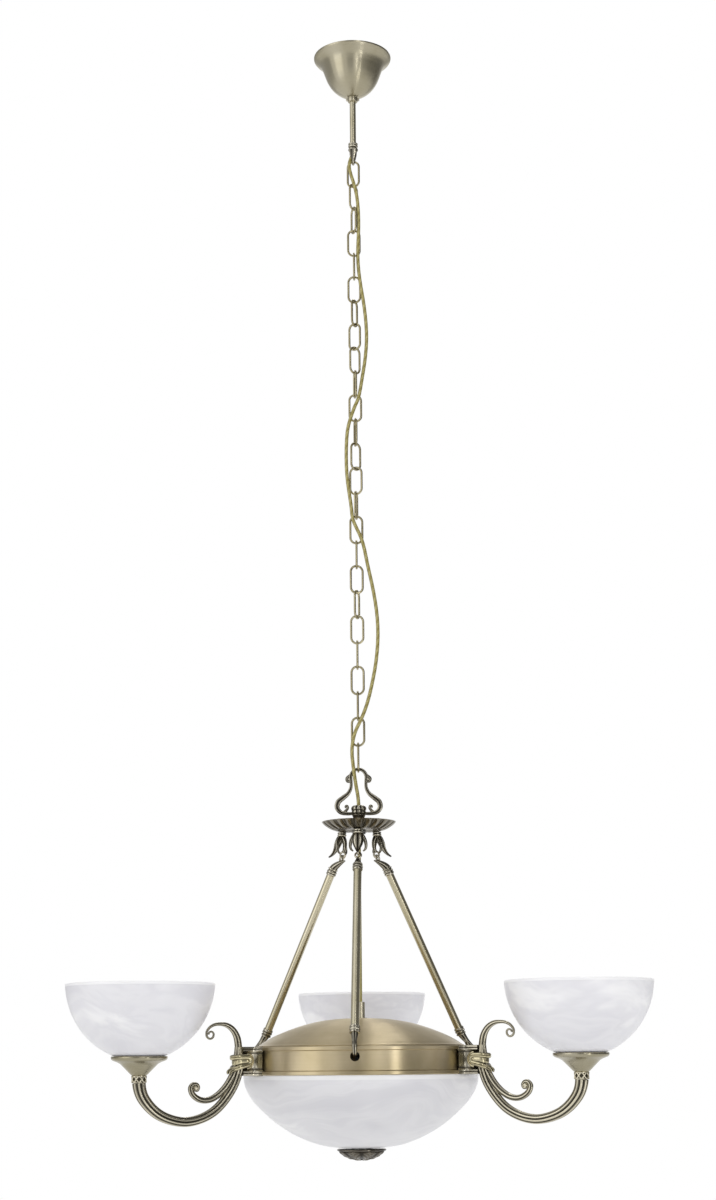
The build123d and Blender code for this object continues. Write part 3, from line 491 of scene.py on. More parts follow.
class CHANDELIER_OT_ceiling_set(bpy.types.Operator):
    """Adds the canopy, stem and stem end"""

    bl_idname = "chandelier.ceiling_set"
    bl_label = "Ceiling Set"

    def execute(self, context):
        looks = finishes()
        bell = [
            (51.4, -0.3), (51.3, -1.9), (49.8, -3.9), (46.6, -6.8), (42.6, -11.0), (39.6, -17.0), (37.0, -24.4),
            (33.4, -33.6), (28.0, -42.4), (20.4, -49.8), (12.2, -54.8), (6.4, -57.0),
        ]
        outer = outline_of(bell, 6)
        form = Form().turned(outer + inside_of(outer, 0.9)[::-1], 160)
        form.piece("canopy_bell", looks["spun_brass"], "canopy", "brass", ("canopy",))
        collar = [(4.2, -57), (5.4, -57), (6.7, -58), (6.8, -59), (6.8, -62.6), (6.2, -63.8), (4.2, -64)]
        form = Form().turned(collar, 48)
        form.piece("canopy_collar_turned", looks["spun_brass"], "canopy", "brass", ("canopy_collar",))
        heads = Form()
        for side in (-1, 1):
            knob = [(0, 0), (1.7, 0), (1.9, 0.3), (1.9, 1.5), (1.5, 1.9), (0, 1.9)]
            tilt = Matrix.Translation((side * 6.9, 0, -60.6)) @ Matrix.Rotation(side * math.pi / 2, 4, "Y")
            heads.add(Form().turned(knob, 24, closed=False), tilt)
        heads.piece("collar_screw_heads", looks["dark_brass"], "canopy", "brass", ("collar_screws",))
        dress(looks["tube_brass"], "stem")
        dress(looks["zinc_steel"], "ceiling_bracket", "stem_nuts", "earth_screw")
        dress(looks["white_plastic"], "terminal_block")
        dress(looks["gold_cord"], "stem_cord")
        rings = [
            (4.1, -124), (6.0, -124), (6.4, -124.8), (6.2, -125.8), (5.3, -126.5), (6.3, -127.3), (6.5, -128.2),
            (6.2, -129.1), (5.3, -129.9), (4.1, -130.0),
        ]
        form = Form().turned(rings, 48, marked(rings, (4, 8), 0.9))
        skirt = outline_of(
            [(4.6, -129.8), (6.0, -131.4), (6.3, -133.4), (5.4, -135.2), (3.6, -136.0), (3.0, -136.0)], 4,
        )

        def spiral(angle, part):
            wave = abs(math.sin(2 * (angle + 1.9 * part)))
            return -0.7 * (1 - wave) ** 2, (1 - wave) ** 2

        form.turned(skirt + inside_of(skirt, 0.5)[::-1], 64, spiral)
        side = [
            (0, -5.0, -133.6), (0, -5.1, -138.0), (0, -4.9, -144.0), (0, -4.6, -148.8), (0, -3.25, -152.05),
            (0, 0, -153.4),
        ]
        stirrup = smooth_line(side + [(0, -y, z) for _, y, z in side[-2::-1]], 6)
        leaf_widths = [4.9, 4.7, 3.5, 2.1, 1.6, 1.5, 1.6, 2.1, 3.5, 4.7, 4.9]

        def leaf(part, angle):
            rib = abs(math.sin(1.5 * angle + 2.0 * part))
            return between(leaf_widths, part), 1.2, (1 - rib) * 1.2

        form.bar(stirrup, ACROSS, leaf, 32)
        form.piece("stem_end_casting", looks["dark_brass"], "ceiling", "cast_brass", ("stem_end",))
        return {"FINISHED"}


class CHANDELIER_OT_chain(bpy.types.Operator):
    """Finishes the chain"""

    bl_idname = "chandelier.chain"
    bl_label = "Chain"

    def execute(self, context):
        looks = finishes()
        dress(looks["chain_brass"], "chain_link_top", "chain_links")
        return {"FINISHED"}


CROWN_PIVOT = -0.96455
CORD_RADIUS = 2.25
CORD_UPPER = [
    (0, 0, -0.132), (0, 0, -0.1384), (-0.0037, -0.0021, -0.147), (-0.0058, -0.0052, -0.1574),
    (-0.0036, -0.0068, -0.17), (0.0008, -0.0068, -0.184), (0.005, -0.0056, -0.203),
    (0.0066, -0.0044, -0.227), (0.0064, -0.0042, -0.251), (0.005, -0.0042, -0.275),
    (0.0052, -0.0046, -0.298), (0.008, -0.0044, -0.324), (0.0124, -0.002, -0.35), (0.0152, 0, -0.378),
    (0.0156, 0.0006, -0.402), (0.0132, 0, -0.428), (0.0096, -0.0026, -0.45), (0.0069, -0.0052, -0.468),
    (0.0039, -0.006, -0.4824), (-0.0008, -0.006, -0.492), (-0.005, -0.0056, -0.504),
]
CORD_LOWER = [
    (-0.005, -0.0056, -0.504), (-0.0099, -0.00513, -0.518), (-0.012, -0.0034, -0.542), (-0.0122, 0, -0.57),
    (-0.0108, -0.0006, -0.591), (-0.0084, -0.0034, -0.609), (-0.0062, -0.0056, -0.625),
    (-0.005, -0.006, -0.641), (-0.0004, -0.0062, -0.6526), (0.0052, -0.0056, -0.664),
    (0.0096, -0.0038, -0.678), (0.014, -0.002, -0.702), (0.0206, 0.0004, -0.732), (0.0254, 0.0016, -0.764),
    (0.0264, 0.001, -0.794), (0.0236, -0.0004, -0.826), (0.0178, -0.0022, -0.856), (0.0118, -0.0042, -0.88),
    (0.0046, -0.0062, -0.899), (-0.0048, -0.0058, -0.917), (-0.0084, -0.0046, -0.938),
    (-0.0062, -0.0046, -0.96), (-0.0034, -0.0038, -0.981), (0, 0, -0.999), (0, 0, -1.012),
]


def curve_points(route):
    """Points of the smooth curve that a cord's route steers."""
    curve = bpy.data.curves.new("route", "CURVE")
    curve.dimensions = "3D"
    spline = curve.splines.new("NURBS")
    spline.points.add(len(route) - 1)
    for point, place in zip(spline.points, route):
        point.co = (*place, 1)
    spline.order_u = 3
    spline.use_endpoint_u = True
    spline.resolution_u = 10
    holder = bpy.data.objects.new("route", curve)
    bpy.context.scene.collection.objects.link(holder)
    bpy.context.view_layer.update()
    mesh = bpy.data.meshes.new_from_object(holder)
    points = [v.co.copy() for v in mesh.vertices]
    bpy.data.objects.remove(holder)
    bpy.data.meshes.remove(mesh)
    return points


class CHANDELIER_OT_cord(bpy.types.Operator):
    """Adds the gold cord beside the chain"""

    bl_idname = "chandelier.cord"
    bl_label = "Cord"

    def execute(self, context):
        looks = finishes()
        upper, lower = curve_points(CORD_UPPER), curve_points(CORD_LOWER)
        # The lower stretch is parted at the height about which the crown tilts, and its two ends overlap there
        parting = next(i for i, point in enumerate(lower) if point.z < CROWN_PIVOT)
        # Name, solid, points, length, radius at the first point and body
        runs = (
            ("cord_upper", "cord_upper", upper, 0.378, CORD_RADIUS, "top_link"),
            ("cord_lower", "cord_lower", lower[:parting + 2], 0.475, CORD_RADIUS, "chain"),
            ("cord_entry", "cord_lower", lower[parting - 1:], 0.049, 2.1, "crown"),
        )
        for name, solid, points, length, start, body in runs:
            form = Form().bar([p / MM for p in points], Vector((1, 0, 0)), plain([start] + [CORD_RADIUS] * 7), 20)
            sheath = form.piece(name + "_sheath", looks["gold_cord"], body, "cord", (solid,))
            if body == "top_link":
                sheath.parent = None
                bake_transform(sheath)
        dress(looks["gold_cord"], "lower_cable")
        return {"FINISHED"}


# Crown

EYE_RADIUS = 3.6
EYE_TURNS = [2 * math.pi * i / 24 for i in range(24)]


class CHANDELIER_OT_crown(bpy.types.Operator):
    """Adds the reeded lyre loop, the ribbed bud and the fluted dish"""

    bl_idname = "chandelier.crown"
    bl_label = "Crown"

    def execute(self, context):
        looks = finishes()
        top = -959.65
        side = [
            (5.6, top - 3.6), (9.4, top - 9.4), (9.2, top - 17.0), (9.4, -984), (12.8, -991.4), (19.6, -997.2),
            (25.4, -1002.4), (26.6, -1009.0), (22.8, -1014.4), (15.4, -1016.4), (7.6, -1016.2),
        ]
        whole = [(-x, z) for x, z in side[::-1]] + [(0, top - 1.7)] + side
        widths = [2.2, 2.6, 3.1, 3.7, 3.9, 3.6, 2.9, 2.4, 2.3, 2.7, 2.4, 2.2]
        widths = widths + widths[-2::-1]
        form = Form().strand(whole, widths, 4, 0.34, 7, 48)
        for way in (-1, 1):
            curl = [
                (way * 8.6, top - 9.0), (way * 11.8, top - 10.6), (way * 14.4, top - 13.6), (way * 13.6, top - 16.8),
                (way * 10.8, top - 16.8), (way * 10.2, top - 14.6),
            ]
            form.strand(curl, [1.8, 2.1, 2.2, 1.9, 1.6, 1.4], 6, 0.3)
            form.ball((way * 11.9, 0, top - 14.3), 2.1)
            foot = [
                (way * 19.0, -1015.6), (way * 15.2, -1012.2), (way * 13.4, -1009.2), (way * 14.4, -1006.8),
                (way * 16.4, -1007.6), (way * 15.8, -1009.4),
            ]
            form.strand(foot, [2.2, 1.9, 1.7, 1.5, 1.3, 1.2], 6, 0.3)
        hub = [(5.1, -1013), (8.6, -1013.4), (9.0, -1015.0), (8.6, -1016.6), (7.4, -1018), (5.1, -1018)]
        form.turned(hub, 96, lambda angle, part: (0.0, (1 - abs(math.sin(5 * angle))) ** 1.2 * 1.6))
        form.piece("crown_lyre", looks["dark_brass"], "crown", "cast_brass", ("crown_loop",))

        def gadroons(angle, part):
            wave = abs(math.sin(5 * angle))
            return -1.5 * (1 - wave) ** 1.2 * math.sin(math.pi * min(part * 1.3, 1.0)), (1 - wave) ** 1.2 * 1.6

        bud = outline_of(
            [(2.9, -1006.5), (5.2, -1006.4), (8.2, -1007.6), (9.6, -1009.8), (9.2, -1012.4), (7.6, -1014)], 5,
        )
        form = Form().turned(bud + [(2.9, -1014)], 96, gadroons)
        form.piece("crown_bud_ribbed", looks["dark_brass"], "crown", "cast_brass", ("crown_bud",))

        sizes = bpy.context.scene.chandelier_sizes
        flutes, cut = sizes.dish_flutes, sizes.dish_flute_depth / MM

        def fluted(angle, part):
            around_rim = min(1.0, 9 * part, 9 * abs(1 - part)) if part < 0.5 else 0.5
            wave = abs(math.sin(flutes / 2 * angle))
            hollow = (1 - wave) ** 1.2
            return -cut * around_rim * hollow, min(1.0, 1.5 * around_rim * hollow)

        under = outline_of([
            (45.7, -1027.0), (44.0, -1029.0), (40.6, -1031.8), (36.5, -1034.4), (31.6, -1036.6), (26.0, -1037.8),
            (18.0, -1038.0), (9.0, -1038.0),
        ], 4)
        above = [(9.0, -1036.2), (24.0, -1035.9), (32.0, -1034.3), (39.6, -1030.6), (43.6, -1027.6), (44.8, -1026.7)]
        form = Form().turned(under + above, 240, fluted)
        neck = outline_of(
            [(5.4, -1018), (8.4, -1018.2), (7.6, -1020.4), (6.4, -1023.6), (7.0, -1029.0), (11.4, -1036.3)], 4,
        )
        form.turned(neck + [(5.4, -1036.3)], 48)
        form.piece("crown_dish_fluted", looks["dish_brass"], "crown", "cast_brass", ("dish",))
        dress(looks["zinc_steel"], "crown_nipple", "hanger_screws")
        return {"FINISHED"}


class CHANDELIER_OT_hangers(bpy.types.Operator):
    """Adds the leaf hangers under the dish"""

    bl_idname = "chandelier.hangers"
    bl_label = "Hangers"

    def execute(self, context):
        looks = finishes()
        rings = [
            (0, -1038.1), (4.8, -1038.1), (5.6, -1038.9), (5.5, -1039.9), (4.4, -1040.5), (5.6, -1041.3),
            (5.7, -1042.2), (5.3, -1043.0), (4.3, -1043.5), (4.6, -1045.0), (0, -1046.5),
        ]
        form = Form().turned(rings, 48, marked(rings, (4, 8)), closed=False)
        hanger = Form().add(form, Matrix.Translation((25, 0, 0)))
        widths, thicknesses = [4.4, 6.6, 7.4, 6.0, 3.4, 1.0], [3.8, 3.9, 3.2, 2.3, 1.7, 0.9]

        def leaf_section(part, angle):
            groove = 1 - abs(math.sin(3 * angle))
            # The leaf also darkens towards its tip.
            tip = max(0.0, part - 0.72) * 2.5
            thick, wide = between(thicknesses, part), between(widths, part)
            return thick * (1 - 0.2 * groove), wide * (1 - 0.12 * groove), 1.7 * groove + tip

        leaf = [(25.4, -1042.6), (28.4, -1047.0), (31.2, -1052.4), (33.6, -1058.0), (37.6, -1063.2), (44.6, -1067.6)]
        hanger.bar(smooth_line(leaf, 6), ACROSS, leaf_section, 50)
        for way in (-1, 1):
            edge = [
                (25.0, way * 3.0, -1043.6), (26.4, way * 6.8, -1049.0), (26.2, way * 9.4, -1056.0),
                (24.8, way * 8.8, -1062.5), (24.0, way * 6.0, -1065.0),
            ]
            hanger.strand(edge, [2.4, 2.6, 2.2, 1.6, 0.9], 5, 0.28, up=Vector((1, 0, 0)))
        hook = [(23.6, -1044.0), (21.0, -1050.0), (20.8, -1057.0), (23.0, -1063.2)]
        hanger.strand(hook, [3.4, 3.1, 2.6, 2.0], 5, 0.28)
        circle = [
            Vector((24 + EYE_RADIUS * math.cos(t), 0, -1066.05 + EYE_RADIUS * math.sin(t))) for t in EYE_TURNS
        ]
        hanger.bar(circle, ACROSS, plain(1.25), 14, closed=True)
        for number, turn in enumerate(ROD_TURNS, 1):
            hanger.piece(
                f"hanger_leaf_{number}", looks["dark_brass"], "crown", "cast_brass", (f"hanger_{number}",), turn
            )
        return {"FINISHED"}


# Rods

ROD_HEAD = Vector((39.7, 0, -1085.0))
ROD_HEEL = Vector((138.4, 0, -1280.0))


class CHANDELIER_OT_rods(bpy.types.Operator):
    """Adds the rods and their cast ends"""

    bl_idname = "chandelier.rods"
    bl_label = "Rods"

    def execute(self, context):
        looks = finishes()
        down = (ROD_HEEL - ROD_HEAD).normalized()
        outward = ACROSS.cross(down)
        length = (ROD_HEEL - ROD_HEAD).length
        stand = Matrix((
            (outward.x, 0, -down.x, 0), (0, 1, 0, 0), (outward.z, 0, -down.z, 0), (0, 0, 0, 1),
        ))
        rings = [
            (0, 3.8), (4.6, 3.8), (6.0, 3.2), (6.2, 2.2), (5.2, 1.4), (5.4, 0.4), (6.3, -0.4), (6.4, -1.6),
            (5.4, -2.4), (6.1, -3.2), (6.2, -4.6), (5.6, -5.6), (4.95, -5.6),
        ]
        dark_rings = marked(rings, (4, 8, 12))
        head = Form().turned(rings, 48, dark_rings, closed=False)
        heel = Form().turned([(r, -z) for r, z in rings], 48, dark_rings, closed=False)
        ends = Form().add(head, Matrix.Translation(ROD_HEAD) @ stand)
        leaf = [ROD_HEAD - down * 2.0, (37.0, 0, -1081.0), (32.6, 0, -1078.0), (26.6, 0, -1075.2), (20.6, 0, -1073.4)]
        ends.strand(leaf, [5.4, 5.0, 4.2, 2.8, 0.8], 6, 0.26, columns=48, deep=0.9)
        eye = Vector((23.8, 0, -1066.95)) + down * EYE_RADIUS
        circle = [eye + down * EYE_RADIUS * math.cos(t) + ACROSS * EYE_RADIUS * math.sin(t) for t in EYE_TURNS]
        ends.bar(circle, outward, plain(1.25), 14, closed=True)
        ends.add(heel, Matrix.Translation(ROD_HEEL) @ stand)
        leaf = [
            ROD_HEEL + down * 2.0, (142.4, 0, -1285.6), (146.8, 0, -1290.4), (151.6, 0, -1294.0), (156.4, 0, -1296.6),
        ]
        ends.strand(leaf, [5.0, 4.4, 3.4, 2.2, 0.8], 6, 0.26, columns=48, deep=0.9)
        hook = [
            (143.4, -1286.4), (147.6, -1292.6), (149.6, -1299.0), (147.4, -1304.4), (142.4, -1306.4),
            (138.0, -1306.4), (131.0, -1306.4),
        ]
        ends.strand(hook, [3.4, 3.1, 2.8, 2.6, 2.5, 2.5, 2.4], 5, 0.24, columns=36)
        tube = Form().bar(
            [ROD_HEAD + down * (1.0 + (length - 2.0) * i / 30) for i in range(31)], ACROSS, plain(4.9), 48
        )
        for number, turn in enumerate(ROD_TURNS, 1):
            rod, tube_solid, ends_solid = f"rod_{number}", f"rod_tube_{number}", f"rod_ends_{number}"
            tube.piece(f"rod_drawn_{number}", looks["tube_brass"], rod, "brass", (tube_solid,), turn)
            ends.piece(f"rod_casting_{number}", looks["dark_brass"], rod, "cast_brass", (ends_solid,), turn)
        return {"FINISHED"}


# Lamp body

class CHANDELIER_OT_body(bpy.types.Operator):
    """Adds the dome and finishes the band and the plain metal inside"""

    bl_idname = "chandelier.body"
    bl_label = "Dome and Band"

    def execute(self, context):
        looks = finishes()
        dome = outline_of([
            (124.0, -1296.9), (121.5, -1295.8), (117.0, -1292.8), (106.0, -1286.6), (88.0, -1279.0), (65.0, -1271.6),
            (42.0, -1267.0), (20.0, -1265.2), (5.6, -1265.0),
        ], 6)
        form = Form().turned(dome + inside_of(dome, 0.9)[::-1], 200)
        form.piece("dome_spun", looks["dome_brass"], "lamp_body", "brass", ("dome",))
        dress(looks["band_brass"], "band")
        dress(looks["tube_brass"], "entry_tube")
        dress(looks["zinc_steel"], "bridge", "centre_rod", "rod_nuts", "bracket_screws", "bowl_washer")
        dress(looks["sleeved_wire"], "lamp_wires")
        dress(looks["ceramic"], "arm_lampholders", "bowl_lampholders", "shade_rings")
        dress(looks["opal_lamp"], "arm_bulbs", "bowl_bulbs")
        return {"FINISHED"}


class CHANDELIER_OT_brackets(bpy.types.Operator):
    """Adds the moulded brackets and the ribbon knots"""

    bl_idname = "chandelier.brackets"
    bl_label = "Brackets"

    def execute(self, context):
        looks = finishes()
        half_section = [
            (4.4, -1297.0), (6.0, -1297.0), (6.7, -1297.8), (6.7, -1299.2), (5.7, -1299.9), (6.5, -1300.6),
            (6.6, -1302.0), (5.8, -1303.0), (4.6, -1304.2), (4.3, -1306.5), (4.3, -1313.5), (4.3, -1320.5),
            (4.6, -1322.8), (5.8, -1324.0), (6.6, -1325.0), (6.5, -1326.4), (5.7, -1327.1), (6.7, -1327.8),
            (6.7, -1329.2), (6.0, -1330.0), (4.4, -1330.0),
        ]
        dark_heights = (-1299.9, -1304.2, -1322.8, -1327.1)
        rows, grooves = [], []
        for place in (139.9, 140.6, 141.6, 143.0, 144.8, 147.0, 150.0, 153.0, 156.5, 160.5):
            flare = 9.5 * max(0.0, (147.6 - place) / 7.7) ** 2.2
            row = [Vector((place, w + flare, z)) for w, z in half_section]
            row += [Vector((place, -w - flare, z)) for w, z in half_section[::-1]]
            value = [0.95 if z in dark_heights else 0.1 for w, z in half_section]
            rows.append(row)
            grooves.append(value + value[::-1])
        bracket = Form().grid(rows, grooves)
        knot = Form()
        for way in (-1, 1):
            loop = []
            for i in range(17):
                angle = math.pi * (0.5 + i / 16)
                loop.append(Vector((156.8 + 8.0 * math.cos(angle), way * 7.6, -1313.2 + 8.0 * math.sin(angle))))
            # Each side loop gets painted shade along its two sides.
            knot.bar(loop, ACROSS, lambda part, angle: (1.5, 1.5, min(1.0, 1.2 * abs(math.cos(angle)) ** 3)), 24)
            knot.ball((156.0, way * 6.4, -1313.2), 3.4)

        shank = 164.0
        line, ups = [], []

        def place_point(x, y, z, up):
            line.append(Vector((x, y, z)))
            ups.append(up)

        for x in (157, 159, 161, 163):
            place_point(x, 8.6, -1308.4, ACROSS)
        for i in range(1, 16):
            angle = math.pi * (0.5 - i / 16)
            out = Vector((math.cos(angle), math.sin(angle), 0))
            place_point(shank + 8.0 * out.x, 8.6 * out.y, -1308.4 - 1.0 * out.x, out)
        for x in (163, 161, 159, 157):
            place_point(x, -8.6, -1308.4, -ACROSS)
        for i in range(1, 8):
            angle = math.pi * (0.5 + i / 8)
            place_point(156.4 + 4.6 * math.cos(angle), -8.6, -1313.0 + 4.6 * math.sin(angle), -ACROSS)
        for i, x in enumerate((157, 159, 161, 163)):
            place_point(x, -8.6 - 0.15 * i, -1317.6 - 0.45 * i, -ACROSS)
        for i in range(1, 16):
            angle = math.pi * (-0.5 + i / 16)
            out = Vector((math.cos(angle), math.sin(angle), 0))
            place_point(shank + 7.8 * out.x, 9.1 * out.y, -1319.0 - 3.4 * out.x, out)
        for i, x in enumerate((163, 161, 159, 157)):
            place_point(x, 9.05 - 0.15 * i, -1319.0 + 0.45 * i, ACROSS)
        for i in range(1, 8):
            angle = math.pi * (1.5 - i / 8)
            place_point(156.4 + 4.6 * math.cos(angle), 8.6, -1313.0 + 4.6 * math.sin(angle), ACROSS)
        panel, panel_ups = [Vector((157, 7.8, -1313.0))], [ACROSS]
        for i in range(17):
            angle = math.pi * (0.5 - i / 16)
            out = Vector((math.cos(angle), math.sin(angle), 0))
            panel.append(Vector((shank + 5.8 * out.x, 7.6 * out.y, -1313.2 - 1.6 * out.x)))
            panel_ups.append(out)
        panel.append(Vector((157, -7.8, -1313.0)))
        panel_ups.append(-ACROSS)

        # The panel gets painted shade along its two edges, over a faint darker tone all over.
        def pad(part, angle):
            return 4.2, 1.5, min(1.0, 0.1 + 1.3 * abs(math.cos(angle)) ** 4)

        # The ribbon has a dark fold line in a real dip down its outer face; its two edges and its inner face get
        # painted shade.
        def ribbon(part, angle):
            lines = math.exp(-((math.cos(angle) / 0.14) ** 2)) if math.sin(angle) > 0 else 0.0
            edge = 1.2 * abs(math.cos(angle)) ** 4
            painted_back_shade = 0.8 if math.sin(angle) < -0.2 else 0.0
            return 2.9, 2.2 * (1 - 0.3 * lines), min(1.0, 0.8 * lines + edge + painted_back_shade)

        knot.bar(panel, panel_ups, pad, 32)
        knot.bar(line, ups, ribbon, 28, closed=True)
        for way in (-1, 1):
            tail = [
                (168.6, way * 6.2, -1321.6), (172.6, way * 4.6, -1323.2), (176.0, way * 3.0, -1325.6),
                (176.2, way * 2.6, -1328.0),
            ]
            knot.strand(tail, [1.8, 1.9, 1.7, 0.9], 4, 0.2, 5, 24, Vector((0, way, 0)))
        on_each_arm(bracket, "bracket_moulded", looks["dark_brass"], "bracket")
        on_each_arm(knot, "knot_ribbon", looks["knot_brass"], "knot")
        return {"FINISHED"}


SWEEP = [
    (163.6, -1309.0), (164.4, -1325.0), (168.4, -1337.0), (178.8, -1353.6), (195.0, -1369.2), (214.6, -1378.0),
    (231.6, -1380.4), (248.6, -1377.8), (264.8, -1371.2), (278.0, -1360.4), (285.8, -1349.4), (289.0, -1336.4),
]
UPPER_CURL = [
    (164.0, -1306.0), (164.2, -1295.0), (166.6, -1284.6), (172.4, -1276.4), (180.0, -1272.0), (187.4, -1271.0),
    (195.0, -1271.8), (201.2, -1275.0), (205.0, -1280.4), (204.2, -1285.8), (200.4, -1287.8), (196.8, -1285.8),
    (196.2, -1281.8), (198.8, -1279.6), (201.8, -1280.8), (202.4, -1283.0),
]
LOWER_CURL = [
    (167.4, -1320.0), (172.4, -1331.0), (180.4, -1342.4), (190.0, -1351.0), (200.0, -1356.0), (209.4, -1356.8),
    (217.6, -1353.8), (223.4, -1348.0), (224.6, -1342.4), (221.4, -1338.8), (217.0, -1339.2), (214.9, -1342.6),
    (216.6, -1345.6), (219.6, -1344.6), (219.2, -1342.2),
]


class CHANDELIER_OT_arms(bpy.types.Operator):
    """Adds the reeded arms with their curls"""

    bl_idname = "chandelier.arms"
    bl_label = "Arms"

    def execute(self, context):
        looks = finishes()
        sizes = bpy.context.scene.chandelier_sizes
        reeds, cut = sizes.arm_reeds, sizes.reed_depth
        arm = Form()
        arm.strand(SWEEP, [6.0, 5.8, 5.6, 5.6, 5.6, 5.7, 6.0, 6.5, 7.1, 7.8], reeds, cut, 9, 80, deep=0.97)
        arm.strand(UPPER_CURL, [4.5, 4.2, 3.3, 2.3, 1.7, 1.4, 1.3, 1.25, 1.2, 1.1], 6, cut, 7, 60)
        arm.strand(LOWER_CURL, [4.2, 4.2, 4.0, 3.8, 3.6, 3.4, 2.9, 2.4, 2.0, 1.8, 1.7], 6, cut, 7, 60)
        arm.ball((218.0, 0, -1342.8), 3.0)
        shank = [(164.0, 0, z) for z in (-1297.0, -1300.4, -1304.0, -1309.0, -1314.0, -1319.0, -1323.0, -1327.5)]
        arm.bar(
            [Vector(p) for p in shank], ACROSS, reeded([4.5, 4.8, 5.2, 5.8, 6.6, 6.9, 6.6, 5.6], 8, cut, 0.95), 80,
        )
        on_each_arm(arm, "arm_reeded", looks["arm_brass"], "arm")
        return {"FINISHED"}


class CHANDELIER_OT_cups(bpy.types.Operator):
    """Adds the spun cups and the lattice collars"""

    bl_idname = "chandelier.cups"
    bl_label = "Cups"

    def execute(self, context):
        looks = finishes()
        cup = [
            (30.6, -1306.8), (31.6, -1306.8), (32.1, -1307.3), (32.2, -1309.0), (31.7, -1310.2), (30.6, -1311.4),
            (27.0, -1312.8), (25.4, -1313.3), (21.7, -1315.2), (19.2, -1317.6), (16.8, -1320.0), (12.8, -1324.0),
            (10.4, -1326.4), (8.9, -1327.8), (4.1, -1327.8), (4.1, -1326.7), (8.2, -1326.6), (11.8, -1323.0),
            (15.8, -1319.0), (20.6, -1314.2), (25.4, -1312.0), (30.2, -1310.2), (30.6, -1308.8),
        ]
        collar = [
            (3.7, -1327.8), (8.0, -1327.8), (8.5, -1328.4), (8.4, -1329.2), (7.5, -1329.8), (7.4, -1331.0),
            (7.4, -1334.0), (7.6, -1335.2), (8.5, -1335.7), (8.5, -1336.3), (8.1, -1336.5), (3.7, -1336.5),
        ]
        lattice = Form().turned(collar, 64, marked(collar, (4, 5, 6, 7)))
        for way in (-1, 1):
            circle, ups = [], []
            for i in range(96):
                angle = 2 * math.pi * i / 96
                outward = Vector((math.cos(angle), math.sin(angle), 0))
                circle.append(outward * 8.0 + Vector((0, 0, -1332.1 + way * 3.1 * math.sin(4 * angle))))
                ups.append(outward)
            lattice.bar(circle, ups, plain(0.95, 0.9), 12, closed=True)
        on_each_arm(Form().turned(cup, 128), "cup_spun", looks["cup_brass"], "cup", "brass", ARM_REACH)
        on_each_arm(lattice, "cup_lattice", looks["arm_brass"], None, out=ARM_REACH)
        return {"FINISHED"}


# Glass and finial

def blown(corners, wall, foot, columns, rim, strength):
    """Blown shell with a round lip, which gets a painted highlight there and at a number of points on each side of
    it.
    """
    outer = outline_of(corners, 8)
    inner = inside_of(outer, wall)
    lip_centre = Vector(((outer[0][0] + inner[0][0]) / 2, (outer[0][1] + inner[0][1]) / 2))
    across = Vector((outer[0][0] - inner[0][0], outer[0][1] - inner[0][1])) / 2
    up = Vector((-across.y, across.x))
    if up.y < 0:
        up = -up
    lip = []
    for i in range(1, 6):
        angle = math.pi * i / 6
        point = lip_centre - across * math.cos(angle) + up * math.sin(angle) * 0.9
        lip.append((point.x, point.y))
    outline = outer + foot + inner[::-1] + lip
    # These points of the lip and beside it get a painted highlight.
    painted_lip_highlight = [*range(rim), *range(len(outline) - len(lip) - rim, len(outline))]
    return Form().turned(outline, columns, marked(outline, painted_lip_highlight, strength))


class CHANDELIER_OT_glass(bpy.types.Operator):
    """Adds the alabaster shades and bowl"""

    bl_idname = "chandelier.glass"
    bl_label = "Glass"

    def execute(self, context):
        looks = finishes()
        shade_corners = [
            (85.5, -1227.6), (85.0, -1232.0), (82.7, -1245.0), (75.8, -1263.6), (65.3, -1280.0), (52.4, -1293.0),
            (40.9, -1301.0), (31.0, -1305.8), (21.0, -1308.0),
        ]
        shade = blown(shade_corners, 4.0, [(14.2, -1308.0), (14.2, -1304.0)], 160, 3, 0.9)
        on_each_arm(shade, "shade_blown", looks["alabaster_shade"], "shade", "alabaster_glass", ARM_REACH)
        bowl_corners = [
            (141.1, -1331.4), (140.8, -1334.6), (139.2, -1342.0), (132.6, -1355.4), (115.0, -1374.6), (94.2, -1391.0),
            (72.0, -1403.2), (48.0, -1411.6), (24.0, -1414.9), (9.0, -1415.2),
        ]
        bowl = blown(bowl_corners, 4.5, [(5.9, -1415.2), (5.9, -1410.8)], 200, 9, 0.8)
        bowl.piece("bowl_blown", looks["alabaster_bowl"], "bowl", "alabaster_glass", ("bowl",))
        return {"FINISHED"}


